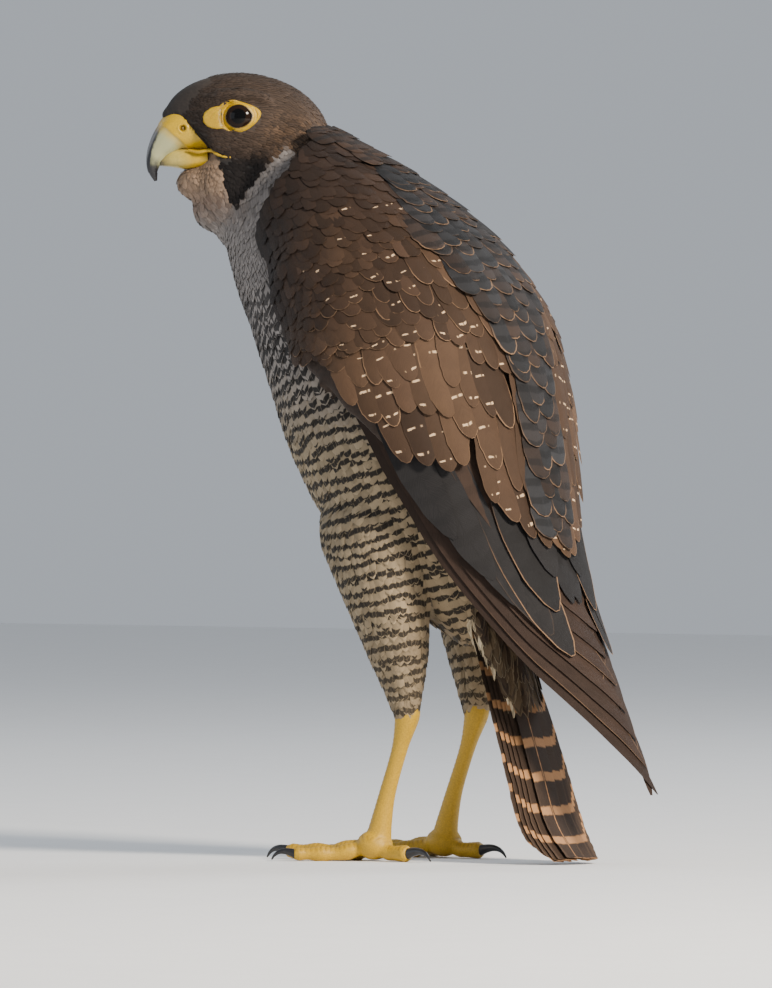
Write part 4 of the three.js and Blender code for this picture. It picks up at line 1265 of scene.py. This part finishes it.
def tree_of(verts, faces):
    return BVHTree.FromPolygons(verts.tolist(), faces.tolist())


class Skin:
    """The joined skin with the form nearest to any place on it."""

    def __init__(self, made):
        self.made = made
        made.data.calc_loop_triangles()
        self.verts = points_of(made)[0]
        self.tris = read(made.data.loop_triangles, "vertices", 3, np.int32)
        self.tree = tree_of(self.verts, self.tris)
        self.form_trees = [tree_of(*merged(group)) for group in skin_forms().values()]
        self.middles = self.verts[self.tris].mean(1)
        self.middle_form = self.form_of(self.middles)

    def nearest(self, points):
        """Nearest skin places and their outward normals."""
        found = [self.tree.find_nearest(Vector(p)) for p in points]
        return np.array([f[0] for f in found]), np.array([f[1] for f in found])

    def form_of(self, points):
        gaps = np.array([[tree.find_nearest(Vector(p))[3] for tree in self.form_trees] for p in points])
        return np.argmin(gaps, 1)

    def scatter(self, spacing, wanted):
        """Roots no closer than spacing, on the wanted triangles."""
        a, b, c = (self.verts[self.tris[wanted, i]] for i in range(3))
        area = np.linalg.norm(np.cross(b - a, c - a), axis=1) / 2
        number = int(area.sum() / spacing ** 2 * TRIES)
        pick = draw.choice(len(area), number, p=area / area.sum())
        r, s = draw.uniform(0, 1, (2, number, 1))
        fold = (r + s) > 1
        r, s = np.where(fold, 1 - r, r), np.where(fold, 1 - s, s)
        points = a[pick] + (b[pick] - a[pick]) * r + (c[pick] - a[pick]) * s
        keys = np.floor(points / spacing).astype(int)
        cells, kept = {}, []
        for place, (x, y, z) in zip(points.tolist(), keys.tolist()):
            crowded = any(
                sum((p - q) ** 2 for p, q in zip(place, other)) < spacing ** 2
                for i, j, k in NEAR_CELLS
                for other in cells.get((x + i, y + j, z + k), ())
            )
            if not crowded:
                cells.setdefault((x, y, z), []).append(place)
                kept.append(place)
        return np.array(kept)

    def walk(self, roots, length, rows, rise, start=0.15, wave=0.0):
        """Paths from the roots along the lie of the coat, rising off the skin towards their tips."""
        place, normal = self.nearest(roots)
        swing = draw.uniform(-1, 1, (len(roots), 1)) * wave
        path, normals = [place], [normal]
        for step in np.diff(shares(rows)):
            flow = flow_at(place)
            flow = unit(flow - normal * (flow * normal).sum(1, keepdims=True))
            flow = unit(flow + np.cross(normal, flow) * swing)
            place, normal = self.nearest(place + flow * length[:, None] * step)
            path.append(place)
            normals.append(normal)
        path, normals = np.stack(path, 1), np.stack(normals, 1)
        lift = start + rise.reshape(-1, 1, 1) * shares(rows)[None, :, None] ** 1.2
        return path + normals * lift, normals


def flow_at(points):
    """The lie of the coat: back from the bill, down the neck and body to the tail, down the legs."""
    local = to_head(points)
    x, y, z = points.T
    back = unit(local - BILL_BASE) @ HEAD_SPIN.T
    back[:, 2] -= 0.5 * smooth(4, -30, local[:, 0]) + 0.25
    t = np.interp(-z, [-s[1] for s in TRUNK], trunk_knots)
    down = back_of(trunk, t)[:, [0, 2, 1]] * [1, 1, -1]
    down[:, 0] += np.sign(x) * 0.06
    leg = smooth(150, 110, z) * smooth(12, 22, np.abs(x)) * smooth(40, 22, y)
    down = blend_rows(down, [0.0, 0.1, -1.0], leg)
    return unit(blend_rows(back, down, smooth(24, 46, np.linalg.norm(local - [-2, 0, 0], axis=1))))


# The hood's lower edge on the side of the head: x and z in the head's frame, back to front
HOOD_EDGE = [(-60, -64), (-42, -50), (-28, -34), (-16, -16), (-11, -13), (-6.9, -17.6), (0.5, -25.9)]
HOOD_EDGE += [(5.8, -32.8), (11.4, -41.0), (15.3, -31.8), (17.9, -17.4), (20, -14), (44, -14)]
BAR_PITCH = 5.9  # mm between the bars of the belly and flanks


def plumage(points):
    """Base colour, mark colour, share of bars, marks' strength and shaft streak, by place on the body."""
    count = len(points)
    local = to_head(points)
    y, z = points[:, 1], points[:, 2]
    lx, side, lz = local[:, 0], np.abs(local[:, 1]), local[:, 2]
    ragged = draw.uniform(-1.2, 1.2, count)
    # Breast, belly and flanks, and the buff throat, with painted shade over the breast and belly and as a
    # brown patch low on the throat
    lower = smooth(232, 178, z)
    base = blend_rows(BREAST, BELLY, lower)
    base = blend_rows(base, FLANK, lower * smooth(-10, 50, y + (180 - z) * 0.1) * 0.5)
    throat = smooth(286, 312, z + ragged) * smooth(4, 18, lx + ragged)
    base = blend_rows(base, THROAT_BUFF, throat * 0.85)
    # painted shade: a brown patch low on the throat
    brown = throat * smooth(-30, -42, lz + 2 * ragged) * smooth(-66, -54, lz)
    base = blend_rows(base, THROAT_SHADE, brown * draw.uniform(0.5, 0.9, count))
    strength = np.interp(-z, [-310, -285, -258, -235, -120, -60], [0.12, 0.4, 0.8, 0.96, 0.94, 0.8])
    streak = np.interp(-z, [-330, -290, -262, -240, -215], [0.1, 0.1, 0.2, 0.16, 0.0])
    # The hood, and down the back of the neck from it
    near_head = smooth(76, 62, np.linalg.norm(local - [-4, 0, -8], axis=1))
    hood = smooth(-0.8, 0.8, lz - np.interp(lx, *zip(*HOOD_EDGE)) + ragged) * near_head
    nape = smooth(-12, -24, lx) * smooth(300, 312, z) * near_head
    axis = np.interp(-z, [-s[1] for s in TRUNK], [s[0] for s in TRUNK])
    behind = y - axis - np.interp(z, [255, 297, 308, 320], [8, 15, 24, 33])
    nape = np.maximum(nape, smooth(-1, 4, behind + ragged) * smooth(255, 275, z))
    hood = np.maximum(hood, nape)
    black = smooth(-12, -20, lz + ragged) * smooth(-12, 0, lx) * smooth(6, 10, side) * hood
    lore = smooth(17, 25, lx) * smooth(14, 2, lz) * smooth(4, 8, side) * hood * 0.7
    # painted shade: the forehead and front of the head are darkened near black
    front = smooth(16, 34, lx + ragged) * 0.75 * hood
    cheek = smooth(4, -12, lx) * smooth(10, -8, lz) * hood
    base = blend_rows(base, HOOD, hood)
    base = blend_rows(base, HOOD_WARM, cheek * draw.uniform(0, 0.75, count))
    base = blend_rows(base, HOOD_DARK, np.maximum.reduce([black, lore, front]))
    strength = mix(strength, 0.55 + 0.2 * smooth(6, 20, lz) * hood, hood) * (1 - black)
    mark = blend_rows(BAR, HOOD_DARK, hood)
    return base, mark, smooth(262, 246, z) * (1 - hood), strength, mix(streak, 0.24, hood)


def body_distance(points):
    """Millimetres down the body, for bars that line up from feather to feather."""
    return -points[:, 2] * 0.94 + points[:, 1] * 0.18


def coat_look(path, fringe):
    """The coat's looks from where each feather starts and ends."""
    root, tip = path[:, 0], path[:, -1]
    count = len(tip)
    base, mark, bars, strength, streak = plumage(tip)
    first, last = body_distance(root), body_distance(tip)
    number = (last - first) / BAR_PITCH * (bars > 0.3)
    edge = np.clip(base * 1.25 + 0.004, 0, 0.85)
    low = smooth(225, 190, tip[:, 2])
    band, slope = mix(0.28, 0.21, low), mix(0.5, 0.16, low)
    look = look_of(count, base, edge, fringe, mark, strength, number, 0.0, band, streak, slope)
    sway = 0.3 * np.sin(tip[:, 0] / 6.0 + tip[:, 2] / 19.0) + 0.2 * np.sin(tip[:, 0] / 2.7 + tip[:, 2] / 5.0)
    look["Phase"] = first / BAR_PITCH + sway + draw.uniform(-1, 1, count) * mix(0.16, 0.1, low)
    look["Phase"] -= np.floor(look["Phase"].min())
    look["Soft"] = draw.uniform(0.0, 0.6, count)
    return look


def bare_face(local):
    """Where no feathers root: eye rings, cere and bill, and the lips' line."""
    from_eye, theta, outward = in_eye_plane(local)
    x, side, z = local[:, 0], np.abs(local[:, 1]), local[:, 2]
    ring = (from_eye < ring_reach(theta)[1] - 0.7) & (outward > -2)
    forehead = (z > 2.8 - smooth(6.8, 4.5, side)) & (x < 42)
    cere = (past_edge(local, FACE_EDGE) > -0.5) & (z > -19) & ~forehead
    mandible = (x > 21) & (z > -20.4) & (side < 9.8)
    lip_x, _, lip_z, _ = zip(*GAPE[::-1])
    lips = (x > lip_x[0]) & (np.abs(z - np.interp(x, lip_x, lip_z) + 0.8) < 1.9)
    return ring | cere | mandible | lips


# Groups of the coat: spacing of the roots, lengths near the bill and far, rise of the tips, half width,
# rows and columns of each vane, thickness, raggedness, outline, waywardness, fringe in mm
GROUPS = {
    "face_coat": (1.36, (2.6, 4.6), 0.6, 1.0, 5, 3, 0.12, 0.2, "round", 0.14, 0.12),
    "neck_coat": (2.1, (6.0, 10.0), 0.7, 2.2, 6, 3, 0.1, 0.16, "round", 0.1, 0.2),
    "breast_coat": (3.4, (12, 17), 1.1, 3.7, 7, 5, 0.1, 0.2, "round", 0.1, 0.3),
    "leg_coat": (2.7, (10, 16), 1.3, 2.4, 7, 5, 0.11, 0.26, "leaf", 0.14, 0.3),
}
FACE_END, NECK_END = 38, 84  # how far from the head's middle the face's and the neck's feathers reach
SHANK_TOP = 66  # height at which the feathers of the legs end


def coat_zones(skin):
    """Which triangles of the skin each group of the coat grows on."""
    body, head_form, wing, leg, tail_form = range(5)
    places, form = skin.middles, skin.middle_form
    local = to_head(places)
    far = np.linalg.norm(local - [-2, 0, -6], axis=1)
    grows = ~bare_face(local) & (places[:, 2] > SHANK_TOP)
    face = (form == head_form) | ((form == body) & (far < FACE_END))
    shoulder = (form == wing) & (places[:, 2] > 290)
    neck = ((form == body) & (far >= FACE_END) & (far < NECK_END)) | shoulder
    return {
        "face_coat": grows & face,
        "neck_coat": grows & neck,
        "breast_coat": grows & (form == body) & (far >= NECK_END),
        "leg_coat": grows & np.isin(form, (leg, tail_form)),
    }


def cover_body(skin, material):
    made = []
    for name, wanted in coat_zones(skin).items():
        spacing, lengths, rise, half, rows, cols, thick, ragged, outline, wave, fringe = GROUPS[name]
        roots = skin.scatter(spacing, wanted)
        near = smooth(10, 60, np.linalg.norm(to_head(roots) - BILL_BASE, axis=1))
        size = mix(0.75, 1.05, near) * draw.uniform(0.88, 1.14, len(roots))
        if name == "leg_coat":
            size *= mix(0.8, 1.0, smooth(SHANK_TOP, 120, roots[:, 2]))
        length = mix(*lengths, draw.uniform(0, 1, len(roots)) * 0.4 + near * 0.6) * size
        path, normal = skin.walk(roots, length, rows, rise * size, wave=wave)
        coat = Coat(name)
        coat.add(path, normal, half * size, outline, coat_look(path, fringe), cols, thick, 0.2, ragged=ragged)
        made.append(coat.build(material))
    return made


def dress_skin(skin, material):
    """Gives the skin the coat's own colours at its vertices."""
    base, mark, bars, strength, _ = plumage(skin.verts)
    wing = skin.form_of(skin.verts) == 2
    base[wing] = WING
    strength = np.where(wing, 0.1, strength * np.maximum(bars, 0.2))
    write_uv(skin.made.data, "OFBake", unwrap(skin.verts))
    dress(skin.made, material, Base=rgba(base), Mark=rgba(mark, strength))


# Legs and feet: shank stations x, y, z, half width, half depth, and the toes
SHANK = [
    (26, 7, 74, 4.8, 5.6),
    (26, 7, 66, 5.2, 6.0),
    (25.6, 2.4, 52, 3.6, 4.0),
    (25.2, -5, 32, 3.6, 4.1),
    (25, -9, 18, 4.8, 5.2),
    (25, -11, 9, 6.0, 6.4),
]
FOOT = np.array([26.0, -12.0, 7.4])
FOOT_RADIUS = 8.4
# Each toe: heading in degrees from straight ahead, length, thickness, claw's length, joints
TOES = [(-20, 33, 4.2, 17, 2), (6, 47, 4.2, 15.5, 3), (38, 37, 3.7, 14, 3), (176, 21, 4.3, 18, 1)]
SCUTE_PITCH, SCUTE_RISE = 2.3, 0.32
# painted shade: the legs' yellow is darkened in the grooves between scutes
SCUTE_GROOVE_SHADE = np.array([0.42, 0.36, 0.4])  # shares of the legs' colour in the grooves between scutes
SOLE = 0.02  # clearance under the toes and claws


def heading(side, toe):
    angle = math.radians(toe[0])
    return np.array([side * math.sin(angle), -math.cos(angle), 0.0])


def toe_line(side, toe):
    """Middle line and radii of a toe."""
    _, long, thick, _, joints = toe
    s = np.linspace(0, 1, 36)
    arch = mix(3.6, -0.45, np.minimum(s * 2.2, 1))
    path = FOOT * [side, 1, 0] + heading(side, toe) * (s * long)[:, None] + UP * (thick + arch)[:, None]
    radii = thick * mix(1.02, 0.82, s) + 0.42 * np.cos(2 * math.pi * joints * s)
    return path, radii * np.where(s > 0.97, 0.8, 1.0)


def claw_line(side, toe):
    """Middle line and radii of a claw."""
    _, long, thick, claw, _ = toe
    s = np.linspace(0, 1, 22)
    reach = long - 0.9 + claw * 0.84 * np.sin(s * 1.25)
    rise = thick - 0.5 + (1.8 * np.sin(math.pi * s) - (thick - 1.1) * s * s)
    path = FOOT * [side, 1, 0] + heading(side, toe) * reach[:, None] + UP * rise[:, None]
    return path, mix(thick * 0.62, 0.35, s ** 0.8)


def make_foot(side, material):
    """Shank, foot and toes in one skin, with scutes along the front of the shank and over the toes, and
    painted shade in the grooves between them.
    """
    lines = [toe_line(side, toe) for toe in TOES]
    parts = [limb_mesh(SHANK, side, 0.0, 32, 30), *[tube_mesh(*line, 24) for line in lines]]
    parts.append(round_mesh(FOOT * [side, 1, 1], FOOT_RADIUS * np.array([1, 1, 0.82])))
    made = voxel_skin("foot_skin_" + SIDES[side], parts, FOOT_VOXEL * MM, 4)
    points, normal = points_of(made)
    shank = sampled(SHANK, 60)[:, :3] * [side, 1, 1]
    nearest, groove = np.full(len(points), 1e9), np.zeros(len(points))
    for path, front in [(shank, [0, -1.0, 0]), *[(path, UP) for path, _ in lines]]:
        gap = np.linalg.norm(points[:, None] - path[None, ::2], axis=2)
        index = gap.argmin(1) * 2
        along = np.concatenate([[0], np.cumsum(np.linalg.norm(np.diff(path, axis=0), axis=1))])
        step = unit(np.gradient(path, axis=0))[index]
        place = along[index] + ((points - path[index]) * step).sum(1)
        wave = 1 - np.abs(np.sin(math.pi * place / SCUTE_PITCH)) ** 0.35
        groove = np.where(gap.min(1) < nearest, wave * smooth(0.1, 0.6, normal @ front), groove)
        nearest = np.minimum(nearest, gap.min(1))
    points = points - normal * (groove * SCUTE_RISE)[:, None]
    points[:, 2] = np.maximum(points[:, 2], SOLE)
    set_points(made, points)
    # painted shade in the scutes' grooves
    return dress(made, material, Base=rgba(blend_rows(LEG_YELLOW, LEG_YELLOW * SCUTE_GROOVE_SHADE, groove)))


def make_claws(side, material):
    verts, quads = merged([tube_mesh(*claw_line(side, toe), 20) for toe in TOES])
    verts[:, 2] = np.maximum(verts[:, 2], SOLE)
    return dress(mesh_object("claws_" + SIDES[side], verts, quads), material)


# Materials of the bare parts
MANDIBLE_START = np.array([26.0, 0.0, -16.0])  # where the lower bill's yellow begins to turn to horn


def measured(tree, kind, vector):
    """Millimetres that a vector operation on the place in space and a fixed vector gives."""
    node = tree.nodes.new("ShaderNodeVectorMath")
    node.operation = kind
    tree.links.new(texture_place(tree), node.inputs[0])
    node.inputs[1].default_value = tuple(vector)
    return Value(tree, node.outputs["Value"]) * (1 / MM)


def distance_to(tree, point):
    """Distance from a place in the head's frame."""
    return measured(tree, "DISTANCE", (to_row(point) + SHIFT) * MM)


def beyond_plane(tree, point, normal):
    """Distance beyond a plane of the head's frame."""
    normal = HEAD_SPIN @ normal
    return measured(tree, "DOT_PRODUCT", normal) - float((to_row(point) + SHIFT) @ normal)


def grained(name, tint, roughness, grain, depth, paint=None, inputs={}):
    """A material of one tint, or of what `paint` makes in its node tree, with a fine grain."""
    material, tree = new_material(name, tint, roughness, inputs)
    colour, fine = speckled(tree, paint(tree) if paint else tint, *grain)
    finish(tree, colour, fine if depth else None, *depth)
    return material


def base_paint(tree):
    return attribute(tree, "Base")


def bare_paint(tree):
    """Yellow skin of the eye rings and lips."""
    broad = noise(tree, texture_place(tree), 260.0, 2.0).ramp(0.4, 0.8, 0.0, 0.4)
    return blend(tree, broad, attribute(tree, "Base"), YELLOW_PALE)


def mandible_paint(tree):
    """Lower bill: yellow at its base, horn further on, dark at the tip."""
    waver = noise(tree, texture_place(tree), 420.0, 2.0) - 0.5
    ahead = beyond_plane(tree, MANDIBLE_START, np.array([1.0, 0.0, -0.1])) + waver * 3.0
    colour = blend(tree, ahead.ramp(0.0, 11.0), CERE_YELLOW, MANDIBLE)
    return blend(tree, ahead.ramp(12.0, 19.0), colour, HORN_DARK)


def bill_material():
    """Yellow cere, pale horn at the bill's base, dark along its ridge and black at the tip, with painted
    shade in the nostrils.
    """
    material, tree = new_material("bill", HORN_PALE, 0.3)
    waver = noise(tree, texture_place(tree), 420.0, 2.0) - 0.5
    edge = np.array([CERE_EDGE[0], 0.0, CERE_EDGE[1]])
    beyond = beyond_plane(tree, edge, slant_normal(CERE_EDGE)) + waver * 1.4
    upward, along, _ = parts_of(tree, attribute(tree, "Look", "Vector"))
    ridge = (upward + along * 0.6 + waver * 0.3).ramp(0.98, 1.2)
    dark = ridge.math("MAXIMUM", (along + waver * 0.12).ramp(0.7, 0.88))
    horn = blend(tree, dark, HORN_PALE, HORN_DARK)
    horn = blend(tree, beyond.ramp(0.0, 4.5, 0.6, 0.0), horn, CERE_YELLOW)
    cere, fine = speckled(tree, CERE_YELLOW, 1300.0, 0.85, 1.08)
    colour = blend(tree, beyond.ramp(-0.25, 0.25), cere, horn)
    # painted shade: the nostrils' openings are darkened
    away = [distance_to(tree, NOSTRIL * [1, side, 1]) for side in SIDES]
    hole = away[0].math("MINIMUM", away[1]).ramp(1.1, NOSTRIL_RIM, 1.0, 0.0)
    colour = blend(tree, hole * 0.75, colour, NOSTRIL_SHADE)
    finish(tree, colour, fine * beyond.ramp(-0.3, 0.3, 1.0, 0.15), 0.35)
    return material


def eye_material(side):
    """Near black and glossy, with a dark brown iris round the pupil."""
    material, tree = new_material("eye_" + SIDES[side], IRIS, 0.03, {"Specular IOR Level": 0.15})
    away = distance_to(tree, EYE * [1, side, 1] + eye_frame(side)[0] * EYE_RADIUS)
    fleck = noise(tree, texture_place(tree), 1800.0, 2.0) - 0.5
    iris = (away + fleck * 0.5).ramp(3.3, 3.9) * (away + fleck * 0.6).ramp(5.4, 6.4, 1.0, 0.0)
    finish(tree, blend(tree, iris, PUPIL, IRIS))
    return material


# Camera, light and floor
def place_camera():
    """The photograph's view; gives back its target and the directions to the right and to the camera."""
    azimuth, elevation = math.radians(VIEW_AZIMUTH), math.radians(VIEW_ELEVATION)
    right = np.array([math.cos(azimuth), math.sin(azimuth), 0])
    level = np.array([math.sin(azimuth), -math.cos(azimuth), 0])
    back = level * math.cos(elevation) + UP * math.sin(elevation)
    across = (PHOTO_WIDE / 2 - MIDLINE_PIXEL) * MM_A_PIXEL
    up = (FLOOR_PIXEL - PHOTO_TALL / 2) * MM_A_PIXEL
    target = right * across + UP * up + SHIFT
    data = bpy.data.cameras.new("camera")
    data.sensor_width = SENSOR
    data.lens = SENSOR * VIEW_DISTANCE / (PHOTO_TALL * MM_A_PIXEL)
    data.clip_end = 100
    bpy.context.scene.camera = aimed("camera", data, target * MM, back, VIEW_DISTANCE * MM)
    return target * MM, right, back


def aimed(name, data, target, direction, distance):
    """A camera or lamp that looks at the target from a direction, at a distance in metres."""
    made = bpy.data.objects.new(name, data)
    bpy.context.scene.collection.objects.link(made)
    made.location = Vector(target) + Vector(direction).normalized() * distance
    made.rotation_euler = (Vector(target) - made.location).to_track_quat("-Z", "Y").to_euler()
    return made


# Each lamp: its direction as shares of the ways to the camera, to the right and up, its distance and size
# in metres, its power in watts and its colour
LAMPS = {
    "key": ((0.66, 0.6, 0.48), 2.4, 0.5, 125, (1.0, 0.9, 0.77)),
    "fill": ((0.5, -0.9, 0.2), 2.6, 1.6, 11, (0.86, 0.92, 1.0)),
    "rim": ((-0.7, 0.8, 0.8), 2.4, 1.0, 20, (0.9, 0.95, 1.0)),
    "front": ((-0.6, -0.9, 0.4), 2.6, 1.4, 9, (0.95, 0.97, 1.0)),
}
SKY, SKY_STRENGTH = (0.78, 0.84, 0.92), 0.55


def light_scene(target, right, back):
    for name, (way, distance, size, power, colour) in LAMPS.items():
        data = bpy.data.lights.new(name, "AREA")
        data.size, data.energy, data.color = size, power, colour
        aimed(name, data, target, way @ np.array([back, right, UP]), distance)
    world = bpy.data.worlds.new("studio")
    bpy.context.scene.world = world
    world.use_nodes = True
    background = world.node_tree.nodes["Background"]
    background.inputs["Color"].default_value = (*SKY, 1)
    background.inputs["Strength"].default_value = SKY_STRENGTH


FLOOR_HALF, FLOOR_TINT = 4.0, (0.8, 0.81, 0.82)


def make_floor():
    corners = np.array([[-1, -1, 0], [1, -1, 0], [1, 1, 0], [-1, 1, 0]]) * FLOOR_HALF / MM - SHIFT
    material = grained("floor", FLOOR_TINT, 0.75, (30.0, 0.985, 1.01), ())
    floor = dress(mesh_object("floor", corners, np.array([[0, 1, 2, 3]])), material)


def main():
    target, right, back = place_camera()
    light_scene(target, right, back)
    make_floor()
    feather = vane_material()
    skin = Skin(make_skin())
    dress_skin(skin, skin_material())
    pieces = [skin.made, *cover_body(skin, feather)]
    pieces += [make(feather) for make in (make_mantle, make_tail, make_vent)]
    subsurface = {"Subsurface Weight": 0.08, "Subsurface Scale": 0.002}
    bare = grained("bare_skin", YELLOW, 0.42, (1500.0, 0.82, 1.06), (0.5, 0.0004), bare_paint, subsurface)
    leg = grained("leg_skin", LEG_YELLOW, 0.5, (1400.0, 0.78, 1.1), (0.5, 0.0004), base_paint)
    horn = grained("bill_lower", HORN_PALE, 0.32, (900.0, 0.85, 1.05), (0.2, 0.0003), mandible_paint)
    claw = grained("claw", CLAW, 0.28, (700.0, 0.7, 1.3), (0.2, 0.0003))
    upper, lower = make_upper_bill(bill_material()), make_lower_bill(horn)
    pieces += [upper, lower, make_mouth(skin.tree, bare)]
    for side, name in SIDES.items():
        eye, foot, claws = make_eye(side, eye_material(side)), make_foot(side, leg), make_claws(side, claw)
        pieces += [make_wing(side, feather), make_flight(side, feather), make_eye_ring(side, skin.tree, bare)]
        pieces += [eye, foot, claws]
        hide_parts("eye_" + name)
        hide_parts("foot_" + name, "shank_" + name)
        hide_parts(*[f"claw_{name}_{toe}" for toe in ("inner", "middle", "outer", "hind")])
    for piece in pieces:
        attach(piece, "root")
    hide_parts("head", "neck", "torso", "thigh_left", "thigh_right", "wing_left", "wing_right", "tail")
    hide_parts("cere", "bill_upper")
    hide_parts("bill_lower")


main()
